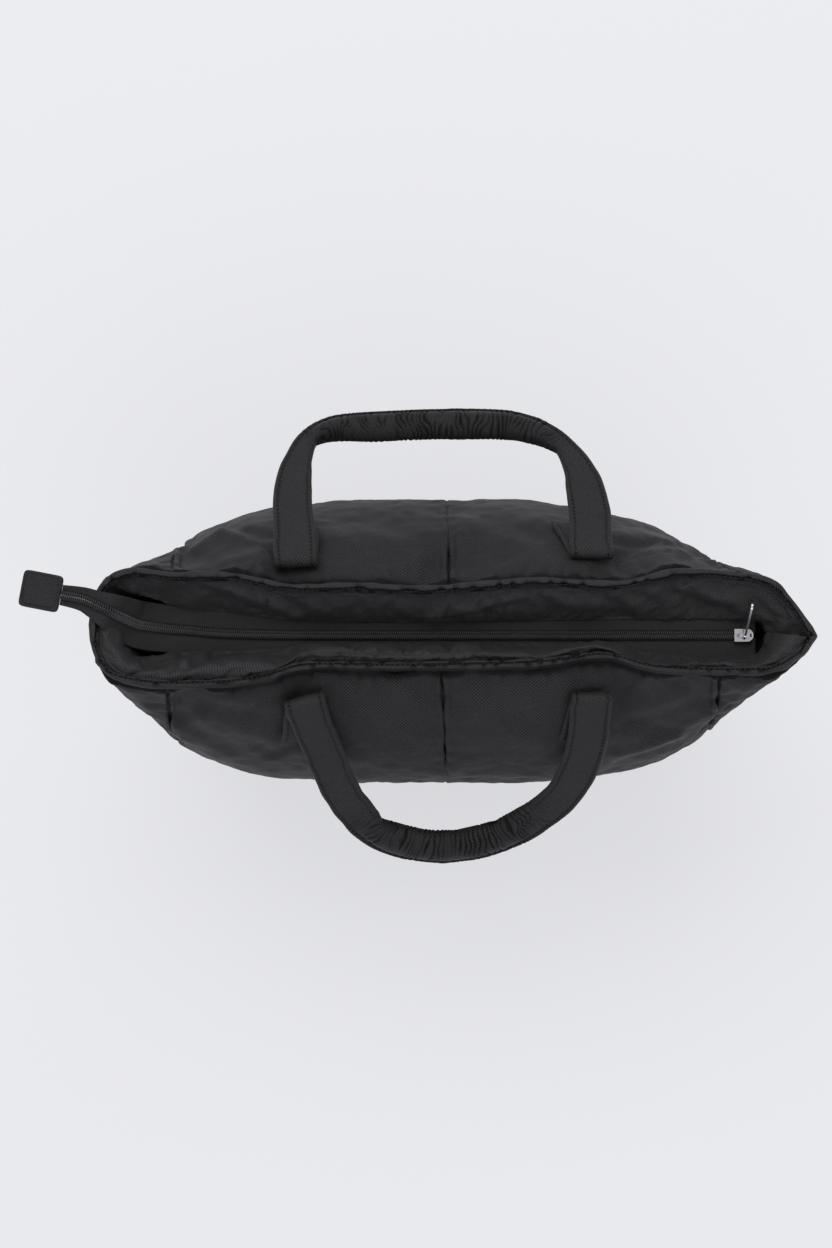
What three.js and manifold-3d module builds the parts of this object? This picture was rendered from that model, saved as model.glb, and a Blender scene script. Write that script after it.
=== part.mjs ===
// A black quilted tote bag that stands on its base, in millimetres with +Z up.
// The origin is the middle of the base's underside, +X runs along the mouth and +Y to the back.
// Two padded panels stand on a padded base and end in a turned hem. Inside the mouth hang two
// facings with a coil zip between them, whose free end is sewn into a tab. Each handle is one
// strap: a patch sewn to the panel, a fold, a flat leg, a stuffed grip, and the same back again.

import * as THREE from "three";
import { mergeVertices } from "three/addons/utils/BufferGeometryUtils.js";
import Module from "manifold-3d";

const wasm = await Module();
wasm.setup();

// Body of the bag
const HEIGHT = 312;
const MOUTH_HALF_LENGTH = 237;
const MOUTH_HALF_DEPTH = 36;
const MOUTH_SHIFT = 8;
const BELLY_HALF_LENGTH = 203;
const BELLY_HALF_DEPTH = 92;
const BELLY_SHIFT = -1.5;
const RIGHT_DRAWN_IN = 0.955;
const WALL = 9;
const WALL_AT_TOP = 2.8;
const BASE_THICKNESS = 9;
const PUFF = 9;

// Cloth round the mouth
const HEM_HEIGHT = 9;
const HEM_THICKNESS = 5.4;
const FACING_THICKNESS = 1.5;
const FACING_BULGE = 2.4;

// Zip, its tab, its slider and its pull
const ZIP_DROP = 37;
const TAPE_HALF_WIDTH = 16;
const TAPE_THICKNESS = 1;
const CHAIN_WIDTH = 6.4;
const CHAIN_THICKNESS = 2.6;
const TAB_LENGTH = 28;
const TAB_WIDTH = 24.5;
const TAB_THICKNESS = 4.4;
const SLIDER_LENGTH = 12.7;
const SLIDER_WIDTH = 8.4;
const PLATE_THICKNESS = 1.3;
const BRIDGE_LENGTH = 9.4;
const BRIDGE_WIDTH = 2.2;
const BRIDGE_BAR = 1.3;
const BRIDGE_CLEARANCE = 2.7;
const PULL_LENGTH = 27;
const PULL_WIDTH = 7.5;
const PULL_THICKNESS = 1.3;
const PULL_RING_WALL = 1.15;
const PULL_HOLE_RADIUS = 1.75;
const PULL_LEAN = 55;
const PULL_TURN = 8;

// Handles
const HANDLE_HALF_SPREAD = 97;
const STRAP_WIDTH = 29;
const STRAP_THICKNESS = 6;
const GRIP_THICKNESS = 19;
const PATCH_LENGTH = 36;
const PATCH_THICKNESS = 3.6;
const FOLD_TIP = 14;
const FRONT_REACH = 133;
const FRONT_SLOPE = 39;
const BACK_REACH = 105;
const BACK_SLOPE = 31;

// Clearances between sewn pieces
const GAP = 0.3;
const PATCH_GAP = 0.6;
const SEAM_GAP = 0.6;
const CHAIN_GAP = 0.45;

// Outline of the body at each height, as shares of the panel's height and of the belly
const LEVELS = [
  { height: 0.0, length: 0.78, depth: 0.76, squareness: 4.0 },
  { height: 0.02, length: 0.82, depth: 0.84, squareness: 4.0 },
  { height: 0.06, length: 0.865, depth: 0.92, squareness: 4.0 },
  { height: 0.14, length: 0.91, depth: 0.98, squareness: 3.9 },
  { height: 0.28, length: 0.95, depth: 1.01, squareness: 3.7 },
  { height: 0.5, length: 0.99, depth: 1.0, squareness: 3.6 },
  { height: 0.65, length: 1.03, depth: 1.01, squareness: 3.5 },
  { height: 0.75, length: 1.045, depth: 1.0, squareness: 3.4 },
  { height: 0.86, length: 1.065, depth: 0.97, squareness: 3.4 },
  { height: 0.93, length: 1.08, depth: 0.86, squareness: 3.8 },
  { height: 1.0, length: 1.08, depth: 0.7, squareness: 4.2 },
];

// How square each corner of the outline is, as a share of its level's squareness
const CORNERS = {
  front: { left: 0.94, right: 0.84 },
  back: { left: 0.84, right: 0.7 },
};

// Middle line of the hem from the left end to the right: across and back are shares of the
// mouth's half length and half depth, and dip is how far it sags, as a share of the hem's height
const RIM_BACK = [
  { across: -0.985, back: 0.04, dip: 0.5 },
  { across: -0.975, back: 0.45, dip: 0.5 },
  { across: -0.945, back: 0.82, dip: 0.5 },
  { across: -0.88, back: 1.0, dip: 0.2 },
  { across: -0.76, back: 0.93, dip: 0.0 },
  { across: -0.6, back: 0.925, dip: 0.0 },
  { across: -0.44, back: 0.73, dip: 0.2 },
  { across: -0.27, back: 0.74, dip: 0.0 },
  { across: -0.06, back: 0.69, dip: 0.1 },
  { across: 0.25, back: 0.83, dip: 0.0 },
  { across: 0.475, back: 0.78, dip: 0.2 },
  { across: 0.64, back: 0.99, dip: 0.0 },
  { across: 0.8, back: 0.94, dip: 0.0 },
  { across: 0.89, back: 0.82, dip: 0.0 },
  { across: 0.95, back: 0.45, dip: 0.1 },
  { across: 1.015, back: -0.17, dip: 0.2 },
];
const RIM_FRONT = [
  { across: -0.985, back: 0.04, dip: 0.5 },
  { across: -0.975, back: -0.42, dip: 0.4 },
  { across: -0.94, back: -0.82, dip: 0.3 },
  { across: -0.85, back: -1.0, dip: 0.1 },
  { across: -0.62, back: -1.01, dip: 0.0 },
  { across: -0.5, back: -0.9, dip: 0.1 },
  { across: -0.41, back: -0.72, dip: 0.2 },
  { across: -0.13, back: -0.71, dip: 0.0 },
  { across: 0.25, back: -0.65, dip: 0.0 },
  { across: 0.44, back: -0.52, dip: 0.2 },
  { across: 0.56, back: -0.72, dip: 0.0 },
  { across: 0.8, back: -0.79, dip: 0.0 },
  { across: 0.9, back: -0.75, dip: 0.0 },
  { across: 0.97, back: -0.49, dip: 0.1 },
  { across: 1.015, back: -0.17, dip: 0.2 },
];

// Seam of each facing to the zip tape, in the same shares
const SEAM_BACK = [
  { across: -0.905, back: 0.11 },
  { across: -0.9, back: 0.45 },
  { across: -0.885, back: 0.62 },
  { across: -0.86, back: 0.62 },
  { across: -0.82, back: 0.53 },
  { across: -0.77, back: 0.42 },
  { across: -0.73, back: 0.36 },
  { across: -0.63, back: 0.3 },
  { across: -0.42, back: 0.13 },
  { across: 0.0, back: 0.11 },
  { across: 0.45, back: 0.15 },
  { across: 0.82, back: 0.16 },
  { across: 0.88, back: 0.14 },
  { across: 0.9, back: -0.1 },
];
const SEAM_FRONT = [
  { across: -0.905, back: 0.11 },
  { across: -0.9, back: -0.2 },
  { across: -0.87, back: -0.5 },
  { across: -0.82, back: -0.53 },
  { across: -0.77, back: -0.46 },
  { across: -0.73, back: -0.45 },
  { across: -0.53, back: -0.4 },
  { across: -0.25, back: -0.31 },
  { across: 0.0, back: -0.31 },
  { across: 0.42, back: -0.3 },
  { across: 0.56, back: -0.44 },
  { across: 0.8, back: -0.54 },
  { across: 0.88, back: -0.46 },
  { across: 0.9, back: -0.1 },
];

// Middle line of the zip tape from the tab to its right end: drop is a share of the zip's
// depth below the rim, and width a share of the tape's half width
const ZIP_LINE = [
  { across: -1.072, back: 0.6, drop: 0.16, width: 0.42 },
  { across: -1.01, back: 0.52, drop: 0.09, width: 0.5 },
  { across: -0.975, back: 0.42, drop: 0.08, width: 0.6 },
  { across: -0.937, back: 0.3, drop: 0.13, width: 0.76 },
  { across: -0.903, back: 0.18, drop: 0.36, width: 0.9 },
  { across: -0.865, back: 0.06, drop: 0.64, width: 1.0 },
  { across: -0.8, back: -0.01, drop: 0.87, width: 1.0 },
  { across: -0.73, back: -0.05, drop: 0.96, width: 1.0 },
  { across: -0.65, back: -0.1, drop: 1.0, width: 1.0 },
  { across: -0.5, back: -0.13, drop: 1.0, width: 1.0 },
  { across: -0.25, back: -0.14, drop: 1.0, width: 1.0 },
  { across: 0.0, back: -0.14, drop: 1.0, width: 1.0 },
  { across: 0.4, back: -0.14, drop: 1.0, width: 1.0 },
  { across: 0.78, back: -0.14, drop: 1.0, width: 1.0 },
  { across: 0.875, back: -0.14, drop: 1.0, width: 1.0 },
];
const SLIDER_ACROSS = 0.836;
const TAPE_LEAVES = -0.83;
const TAPE_LEAVING = 0.04;

// Upright seams of a panel: across is a share of the way to a side seam, and fullness how far
// the padding still stands out at the seam. The level seams are shares of the panel's height.
const SEAMS_ACROSS = [
  { across: -1, fullness: 0.1 },
  { across: -0.715, fullness: 0.45 },
  { across: 0, fullness: 0.7 },
  { across: 0.73, fullness: 0.5 },
  { across: 1, fullness: 0.1 },
];
const SEAMS_UP = [0, 0.5, 1];
const SIDE_CELL_PUFF = 0.75;

// Loops of the handles: across is a share of the half spread, out a share of the reach,
// width a share of the strap's width, and roll how far the strap has become the round grip
const FRONT_LOOP = [
  { across: -0.975, out: 0.0, width: 0.95, roll: 0 },
  { across: -0.92, out: 0.15, width: 0.95, roll: 0 },
  { across: -0.855, out: 0.31, width: 0.93, roll: 0 },
  { across: -0.76, out: 0.55, width: 0.92, roll: 0 },
  { across: -0.65, out: 0.72, width: 0.94, roll: 0.2 },
  { across: -0.44, out: 0.91, width: 0.95, roll: 0.9 },
  { across: -0.04, out: 1.0, width: 0.97, roll: 1 },
  { across: 0.37, out: 0.93, width: 0.95, roll: 0.9 },
  { across: 0.66, out: 0.77, width: 0.92, roll: 0.4 },
  { across: 0.82, out: 0.63, width: 0.92, roll: 0.1 },
  { across: 0.92, out: 0.45, width: 0.93, roll: 0 },
  { across: 0.97, out: 0.25, width: 0.95, roll: 0 },
  { across: 0.98, out: 0.0, width: 0.95, roll: 0 },
];
const BACK_LOOP = [
  { across: -1.04, out: 0.0, width: 1.0, roll: 0 },
  { across: -1.05, out: 0.2, width: 0.97, roll: 0 },
  { across: -1.07, out: 0.42, width: 0.9, roll: 0 },
  { across: -1.06, out: 0.59, width: 0.86, roll: 0 },
  { across: -1.01, out: 0.76, width: 0.8, roll: 0.1 },
  { across: -0.93, out: 0.89, width: 0.78, roll: 0.5 },
  { across: -0.8, out: 0.97, width: 0.79, roll: 0.9 },
  { across: -0.4, out: 1.0, width: 0.81, roll: 1 },
  { across: 0.1, out: 1.0, width: 0.81, roll: 1 },
  { across: 0.47, out: 0.97, width: 0.79, roll: 0.9 },
  { across: 0.68, out: 0.87, width: 0.79, roll: 0.6 },
  { across: 0.82, out: 0.73, width: 0.84, roll: 0.1 },
  { across: 0.92, out: 0.56, width: 0.9, roll: 0 },
  { across: 0.98, out: 0.3, width: 0.96, roll: 0 },
  { across: 0.98, out: 0.0, width: 1.0, roll: 0 },
];

// The two ends of each handle: drop is how far the fold lies below the hem and lean how far the
// patch runs to the right on its way down, as shares of its length; slant turns the fold, degrees
const FRONT_ENDS = [
  { drop: 0.61, lean: -0.07, slant: 16 },
  { drop: 0.755, lean: -0.22, slant: -4 },
];
const BACK_ENDS = [
  { drop: 0.46, lean: 0.07, slant: 0 },
  { drop: 0.65, lean: -0.25, slant: 0 },
];

// Fineness of the faceted surfaces
const SEGMENTS_ACROSS = [6, 10, 10, 6];
const SEGMENTS_UP = [8, 8];
const FACING_ROWS = 3;
const TAPE_STEPS = 34;
const LOOP_STEPS = 34;
const FOLD_STEPS = 5;
const PATCH_STEPS = 4;
const OUTLINE_SAMPLES = 120;

// Small helpers

const SMALL_STEP = 0.004;

function mix(from, to, share) {
  return from + (to - from) * share;
}

function smoothStep(value) {
  const clamped = Math.min(1, Math.max(0, value));
  return clamped * clamped * (3 - 2 * clamped);
}

function radians(degrees) {
  return (degrees * Math.PI) / 180;
}

// A column of a table at a place between its rows, on a smooth curve.
function lookUp(table, key, column, place) {
  const last = table.length - 1;
  let row = 0;
  while (row < last - 1 && place > table[row + 1][key]) {
    row += 1;
  }
  const slopeAt = (index) => {
    const before = table[Math.max(0, index - 1)];
    const after = table[Math.min(last, index + 1)];
    return (after[column] - before[column]) / (after[key] - before[key]);
  };
  const low = table[row];
  const high = table[row + 1];
  const span = high[key] - low[key];
  const share = Math.min(1, Math.max(0, (place - low[key]) / span));
  const square = share * share;
  const cube = square * share;
  return (
    (2 * cube - 3 * square + 1) * low[column] +
    (cube - 2 * square + share) * span * slopeAt(row) +
    (3 * square - 2 * cube) * high[column] +
    (cube - square) * span * slopeAt(row + 1)
  );
}

// Closed bodies from points

function closedGeometry(points, triangles) {
  const positions = new Float32Array(points.flatMap((point) => [point.x, point.y, point.z]));
  let volume = 0;
  for (const [a, b, c] of triangles) {
    volume += points[a].dot(points[b].clone().cross(points[c]));
  }
  const outward = volume > 0 ? triangles : triangles.map(([a, b, c]) => [a, c, b]);
  const geometry = new THREE.BufferGeometry();
  geometry.setAttribute("position", new THREE.BufferAttribute(positions, 3));
  geometry.setIndex(outward.flat());
  geometry.computeVertexNormals();
  return geometry;
}

// A body between an outer and an inner grid of the same size, closed along its four edges.
function shellGeometry(columns, rows, outerPoint, innerPoint) {
  const points = [];
  for (const pointAt of [outerPoint, innerPoint]) {
    for (let row = 0; row <= rows; row += 1) {
      for (let column = 0; column <= columns; column += 1) {
        points.push(pointAt(column, row));
      }
    }
  }
  const innerStart = (columns + 1) * (rows + 1);
  const outer = (column, row) => row * (columns + 1) + column;
  const inner = (column, row) => innerStart + outer(column, row);
  const triangles = [];
  const quad = (a, b, c, d) => triangles.push([a, b, c], [a, c, d]);
  for (let row = 0; row < rows; row += 1) {
    for (let column = 0; column < columns; column += 1) {
      const [right, above] = [column + 1, row + 1];
      quad(outer(column, row), outer(right, row), outer(right, above), outer(column, above));
      quad(inner(column, row), inner(column, above), inner(right, above), inner(right, row));
    }
  }
  for (let column = 0; column < columns; column += 1) {
    const right = column + 1;
    quad(outer(column, 0), inner(column, 0), inner(right, 0), outer(right, 0));
    quad(outer(column, rows), outer(right, rows), inner(right, rows), inner(column, rows));
  }
  for (let row = 0; row < rows; row += 1) {
    const above = row + 1;
    quad(outer(0, row), outer(0, above), inner(0, above), inner(0, row));
    quad(outer(columns, row), inner(columns, row), inner(columns, above), outer(columns, above));
  }
  return closedGeometry(points, triangles);
}

// A body through rings of points, either closed on itself or capped at both ends.
function loftGeometry(rings, endless) {
  const sides = rings[0].length;
  const points = rings.flat();
  const triangles = [];
  const steps = endless ? rings.length : rings.length - 1;
  for (let step = 0; step < steps; step += 1) {
    const next = (step + 1) % rings.length;
    for (let side = 0; side < sides; side += 1) {
      const turned = (side + 1) % sides;
      const a = step * sides + side;
      const b = step * sides + turned;
      const c = next * sides + turned;
      const d = next * sides + side;
      triangles.push([a, b, c], [a, c, d]);
    }
  }
  if (!endless) {
    for (const [start, flipped] of [[0, true], [(rings.length - 1) * sides, false]]) {
      for (let side = 1; side < sides - 1; side += 1) {
        const fan = [start, start + side, start + side + 1];
        triangles.push(flipped ? fan.reverse() : fan);
      }
    }
  }
  return closedGeometry(points, triangles);
}

function solidFrom(geometry) {
  const bare = geometry.clone();
  bare.deleteAttribute("normal");
  bare.deleteAttribute("uv");
  const merged = mergeVertices(bare, 1e-4);
  const mesh = new wasm.Mesh({
    numProp: 3,
    vertProperties: merged.attributes.position.array,
    triVerts: new Uint32Array(merged.index.array),
  });
  return new wasm.Manifold(mesh);
}

function geometryFrom(solid) {
  const mesh = solid.getMesh();
  const geometry = new THREE.BufferGeometry();
  geometry.setAttribute("position", new THREE.BufferAttribute(mesh.vertProperties, 3));
  geometry.setIndex(Array.from(mesh.triVerts));
  geometry.computeVertexNormals();
  return geometry;
}

// Loops round the mouth, as closed lines split into a back and a front half

const PANEL_TOP = HEIGHT - HEM_HEIGHT - GAP;

function mouthPoint(row) {
  const x = row.across * MOUTH_HALF_LENGTH;
  const y = MOUTH_SHIFT + row.back * MOUTH_HALF_DEPTH;
  return new THREE.Vector3(x, y, (row.dip ?? 0) * HEM_HEIGHT);
}

function smoothLine(rows) {
  const line = new THREE.CatmullRomCurve3(rows.map(mouthPoint), false, "centripetal");
  line.arcLengthDivisions = 600;
  return line;
}

const RIM_LINES = { front: smoothLine(RIM_FRONT), back: smoothLine(RIM_BACK) };
const SEAM_LINES = { front: smoothLine(SEAM_FRONT), back: smoothLine(SEAM_BACK) };

// A turn runs from 0 at the left end along the front to 1, and on along the back to 2.
function halfOf(turn) {
  const wrapped = ((turn % 2) + 2) % 2;
  return wrapped <= 1 ? { side: "front", share: wrapped } : { side: "back", share: 2 - wrapped };
}

function onLoop(lines, turn) {
  const { side, share } = halfOf(turn);
  return lines[side].getPointAt(share);
}

// The level direction that points out of a loop.
function outwardOf(pointAt, turn) {
  const along = pointAt(turn + SMALL_STEP).sub(pointAt(turn - SMALL_STEP));
  return new THREE.Vector3(along.y, -along.x, 0).normalize();
}

function rimPoint(turn) {
  return onLoop(RIM_LINES, turn);
}

function rimOutward(turn) {
  return outwardOf(rimPoint, turn);
}

// The body's outline at one height, measured along its length

const outlineCache = new Map();

// One quarter of the outline, from the middle of a long side to its end.
function quarterAt(height, side, end) {
  const key = `${height} ${side} ${end}`;
  if (!outlineCache.has(key)) {
    const length = BELLY_HALF_LENGTH * lookUp(LEVELS, "height", "length", height);
    const depth = BELLY_HALF_DEPTH * lookUp(LEVELS, "height", "depth", height);
    const square = lookUp(LEVELS, "height", "squareness", height);
    const power = 2 / (square * CORNERS[side][end]);
    const reach = end === "right" ? length * RIGHT_DRAWN_IN : -length;
    const toBack = side === "back" ? 1 : -1;
    const points = [];
    const lengths = [0];
    for (let sample = 0; sample <= OUTLINE_SAMPLES; sample += 1) {
      const angle = (Math.PI * sample) / (2 * OUTLINE_SAMPLES);
      const x = reach * Math.sin(angle) ** power;
      const y = BELLY_SHIFT + toBack * depth * Math.max(0, Math.cos(angle)) ** power;
      points.push(new THREE.Vector2(x, y));
      if (sample > 0) {
        lengths.push(lengths[sample - 1] + points[sample].distanceTo(points[sample - 1]));
      }
    }
    outlineCache.set(key, { points, lengths });
  }
  return outlineCache.get(key);
}

function sectionPoint(turn, height) {
  const { side, share } = halfOf(turn);
  const place = share * 2 - 1;
  const { points, lengths } = quarterAt(height, side, place > 0 ? "right" : "left");
  const wanted = Math.abs(place) * lengths[lengths.length - 1];
  let sample = 1;
  while (sample < lengths.length - 1 && lengths[sample] < wanted) {
    sample += 1;
  }
  const part = (wanted - lengths[sample - 1]) / (lengths[sample] - lengths[sample - 1]);
  const point = points[sample - 1].clone().lerp(points[sample], part);
  return new THREE.Vector3(point.x, point.y, 0);
}

// The panel's sewn surface without its padding: the body's outline drawn in to the rim.
const RIM_PULL_FROM = 0.6;
const PANEL_OUTSET = HEM_THICKNESS / 2 - GAP;

function sewnPoint(turn, height) {
  const pull = Math.max(0, (height - RIM_PULL_FROM) / (1 - RIM_PULL_FROM)) ** 2;
  const rim = rimPoint(turn);
  const sag = rim.z * pull;
  rim.addScaledVector(rimOutward(turn), PANEL_OUTSET);
  const point = sectionPoint(turn, height).lerp(rim, pull);
  point.z = height * PANEL_TOP - sag;
  return point;
}

function sewnNormal(turn, height) {
  const low = Math.max(0, height - SMALL_STEP);
  const high = Math.min(1, height + SMALL_STEP);
  const along = sewnPoint(turn + SMALL_STEP, height).sub(sewnPoint(turn - SMALL_STEP, height));
  const up = sewnPoint(turn, high).sub(sewnPoint(turn, low));
  return along.cross(up).normalize();
}

function cellShare(seams, place) {
  let cell = 0;
  while (cell < seams.length - 2 && place > seams[cell + 1]) {
    cell += 1;
  }
  return { cell, share: (place - seams[cell]) / (seams[cell + 1] - seams[cell]) };
}

function pillow(share) {
  return Math.sqrt(Math.max(0, 4 * share * (1 - share)));
}

const SEAM_PLACES = SEAMS_ACROSS.map((seam) => seam.across);

function puffAt(turn, height) {
  const { cell, share } = cellShare(SEAM_PLACES, halfOf(turn).share * 2 - 1);
  const atSeams = mix(SEAMS_ACROSS[cell].fullness, SEAMS_ACROSS[cell + 1].fullness, share);
  const up = cellShare(SEAMS_UP, height);
  const outerCell = cell === 0 || cell === SEAM_PLACES.length - 2;
  const middle = outerCell ? SIDE_CELL_PUFF : 1;
  return PUFF * mix(atSeams, middle, pillow(share)) * pillow(up.share);
}

function outerPoint(turn, height) {
  const puff = puffAt(turn, height);
  return sewnPoint(turn, height).addScaledVector(sewnNormal(turn, height), puff);
}

const WALL_TAPER = 0.14;

function innerPoint(turn, height, clearance = 0) {
  const fullness = smoothStep((1 - height) / WALL_TAPER);
  const thickness = mix(WALL_AT_TOP, WALL, fullness) + clearance;
  const outward = outwardOf((place) => sewnPoint(place, height), turn);
  return sewnPoint(turn, height).addScaledVector(outward, -thickness);
}

// Panels and base

// Places from seam to seam, closer together beside each seam.
function spacedPlaces(seams, segments) {
  const places = [seams[0]];
  segments.forEach((count, cell) => {
    for (let step = 1; step <= count; step += 1) {
      const share = (1 - Math.cos((Math.PI * step) / count)) / 2;
      places.push(mix(seams[cell], seams[cell + 1], share));
    }
  });
  return places;
}

const PANEL_COLUMNS = spacedPlaces(SEAM_PLACES, SEGMENTS_ACROSS);
const PANEL_ROWS = spacedPlaces(SEAMS_UP, SEGMENTS_UP);
const RING_TURNS = [
  ...PANEL_COLUMNS.slice(0, -1).map((place) => (place + 1) / 2),
  ...PANEL_COLUMNS.slice(1).reverse().map((place) => 2 - (place + 1) / 2),
];

function turnOf(side, place) {
  const share = (place + 1) / 2;
  return side === "front" ? share : 2 - share;
}

// Front and back halves end at the side seams, each half a gap short of the other.
function seamGap(side, column) {
  const atSeam = column === 0 || column === PANEL_COLUMNS.length - 1;
  const toBack = side === "back" ? 1 : -1;
  return new THREE.Vector3(0, atSeam ? (toBack * GAP) / 2 : 0, 0);
}

function makePanel(side) {
  const along = (pointAt) => (column, row) =>
    pointAt(turnOf(side, PANEL_COLUMNS[column]), PANEL_ROWS[row]).add(seamGap(side, column));
  return shellGeometry(
    PANEL_COLUMNS.length - 1,
    PANEL_ROWS.length - 1,
    along(outerPoint),
    along((turn, height) => innerPoint(turn, height)),
  );
}

// The base fills the panels' lower edge, flat face beside flat face.
function makeBase() {
  const top = BASE_THICKNESS / PANEL_TOP;
  const topPart = (top - PANEL_ROWS[1]) / (PANEL_ROWS[2] - PANEL_ROWS[1]);
  const ringAt = (height) => RING_TURNS.map((turn) => innerPoint(turn, height, GAP));
  const upper = ringAt(PANEL_ROWS[2]);
  const middle = ringAt(PANEL_ROWS[1]);
  const face = middle.map((point, index) => point.clone().lerp(upper[index], topPart));
  return loftGeometry([ringAt(0), middle, face], false);
}

// Hem and facings

function makeHem() {
  const half = HEM_THICKNESS / 2;
  const profile = [
    { out: half, up: 0 },
    { out: half, up: 0.75 },
    { out: half * 0.45, up: 1 },
    { out: -half * 0.45, up: 1 },
    { out: -half, up: 0.75 },
    { out: -half, up: 0 },
  ];
  const rings = RING_TURNS.map((turn) => {
    const middle = rimPoint(turn);
    const outward = rimOutward(turn);
    const floor = HEIGHT - HEM_HEIGHT - middle.z;
    return profile.map(({ out, up }) => {
      const point = middle.clone().addScaledVector(outward, out);
      point.z = floor + up * HEM_HEIGHT;
      return point;
    });
  });
  return loftGeometry(rings, true);
}

function zipRow(across) {
  const drop = lookUp(ZIP_LINE, "across", "drop", across);
  return {
    y: MOUTH_SHIFT + lookUp(ZIP_LINE, "across", "back", across) * MOUTH_HALF_DEPTH,
    z: HEIGHT - drop * ZIP_DROP,
    halfWidth: TAPE_HALF_WIDTH * lookUp(ZIP_LINE, "across", "width", across),
  };
}

// Place along the zip whose crosswise line passes through a point of the plan.
function zipPlaceOf(point) {
  let across = point.x / MOUTH_HALF_LENGTH;
  for (let pass = 0; pass < 5; pass += 1) {
    const { point: middle, back } = zipFrame(across);
    const aside = (point.y - middle.y) / back.y;
    across = (point.x - back.x * aside) / MOUTH_HALF_LENGTH;
  }
  return across;
}

// The facings' lower edge lies on the tape, and beside its free end it hangs lower.
function seamPoint(turn) {
  const seam = onLoop(SEAM_LINES, turn);
  const onTape = zipRow(zipPlaceOf(seam)).z + TAPE_THICKNESS / 2 + SEAM_GAP;
  const free = smoothStep((TAPE_LEAVES - seam.x / MOUTH_HALF_LENGTH) / TAPE_LEAVING);
  seam.z = mix(onTape, HEIGHT - ZIP_DROP, free);
  return seam;
}

// A facing hangs from under the hem to its seam, and swells inward.
function facingPoint(turn, share) {
  const top = rimPoint(turn);
  const sag = top.z;
  top.addScaledVector(rimOutward(turn), -(HEM_THICKNESS / 2 - FACING_THICKNESS / 2 - GAP));
  top.z = PANEL_TOP - sag;
  const point = top.lerp(seamPoint(turn), share);
  const outward = outwardOf(seamPoint, turn);
  return point.addScaledVector(outward, -FACING_BULGE * Math.sin(Math.PI * share));
}

function makeFacing(side) {
  const faceAt = (offset) => (column, row) => {
    const turn = turnOf(side, PANEL_COLUMNS[column]);
    const share = row / FACING_ROWS;
    const outward = outwardOf((place) => facingPoint(place, share), turn);
    return facingPoint(turn, share).addScaledVector(outward, offset).add(seamGap(side, column));
  };
  return shellGeometry(
    PANEL_COLUMNS.length - 1,
    FACING_ROWS,
    faceAt(FACING_THICKNESS / 2),
    faceAt(-FACING_THICKNESS / 2),
  );
}

// Zip

const ZIP_START = ZIP_LINE[0].across;
const ZIP_END = ZIP_LINE[ZIP_LINE.length - 1].across;

// Place, direction along the tape and direction across it to the back.
function zipFrame(across) {
  const at = (place) => {
    const row = zipRow(place);
    return new THREE.Vector3(place * MOUTH_HALF_LENGTH, row.y, row.z);
  };
  const before = at(Math.max(ZIP_START, across - SMALL_STEP));
  const along = at(Math.min(ZIP_END, across + SMALL_STEP)).sub(before).normalize();
  const back = new THREE.Vector3(-along.y, along.x, 0).normalize();
  const up = along.clone().cross(back);
  return { point: at(across), along, back, up, halfWidth: zipRow(across).halfWidth };
}

// Places along the zip, closer together at its free end.
const CLOSER_AT_START = 0.7;

function zipPlaces(from, to, steps) {
  const places = [];
  for (let step = 0; step <= steps; step += 1) {
    const even = step / steps;
    places.push(mix(from, to, mix(even, even * even, CLOSER_AT_START)));
  }
  return places;
}

const SLIDER_X = SLIDER_ACROSS * MOUTH_HALF_LENGTH;
const TAPES_MEET = GAP / 2;
const CORE_WIDTH = 2.6;

// Behind the slider's core the two tapes lie apart, as on an open zip.
function makeTape(side) {
  const toBack = side === "back" ? 1 : -1;
  const half = TAPE_THICKNESS / 2;
  const parting = SLIDER_ACROSS + 0.004;
  const places = [...zipPlaces(ZIP_START, SLIDER_ACROSS, TAPE_STEPS), parting, ZIP_END];
  const rings = places.map((place) => {
    const { point, back, up, halfWidth } = zipFrame(place);
    const inner = place >= parting ? CORE_WIDTH / 2 + GAP : TAPES_MEET;
    return [
      [inner, -half],
      [halfWidth, -half],
      [halfWidth, half],
      [inner, half],
    ].map(([out, rise]) => point.clone().addScaledVector(back, out * toBack).addScaledVector(up, rise));
  });
  return loftGeometry(rings, false);
}

const CHAIN_BOTTOM = TAPE_THICKNESS / 2 + CHAIN_GAP;
const CHAIN_TOP = CHAIN_BOTTOM + CHAIN_THICKNESS;

function makeChain() {
  const half = CHAIN_WIDTH / 2;
  const profile = [
    { out: -half, rise: 0.25 },
    { out: -half * 0.7, rise: 0 },
    { out: half * 0.7, rise: 0 },
    { out: half, rise: 0.25 },
    { out: half, rise: 0.7 },
    { out: half * 0.6, rise: 1 },
    { out: -half * 0.6, rise: 1 },
    { out: -half, rise: 0.7 },
  ];
  const rings = zipPlaces(ZIP_START, SLIDER_ACROSS, TAPE_STEPS).map((place) => {
    const { point, back, up } = zipFrame(place);
    return profile.map(({ out, rise }) => {
      const height = CHAIN_BOTTOM + rise * CHAIN_THICKNESS;
      return point.clone().addScaledVector(back, out).addScaledVector(up, height);
    });
  });
  return loftGeometry(rings, false);
}

function roundedRectangle(length, width, radius) {
  const shape = new THREE.Shape();
  const x = length / 2;
  const y = width / 2;
  shape.moveTo(-x + radius, -y);
  shape.lineTo(x - radius, -y);
  shape.absarc(x - radius, -y + radius, radius, -Math.PI / 2, 0, false);
  shape.lineTo(x, y - radius);
  shape.absarc(x - radius, y - radius, radius, 0, Math.PI / 2, false);
  shape.lineTo(-x + radius, y);
  shape.absarc(-x + radius, y - radius, radius, Math.PI / 2, Math.PI, false);
  shape.lineTo(-x, -y + radius);
  shape.absarc(-x + radius, -y + radius, radius, Math.PI, 1.5 * Math.PI, false);
  return shape;
}

const TAB_CORNER = 2;
const TAB_BEVEL = 1;

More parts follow.
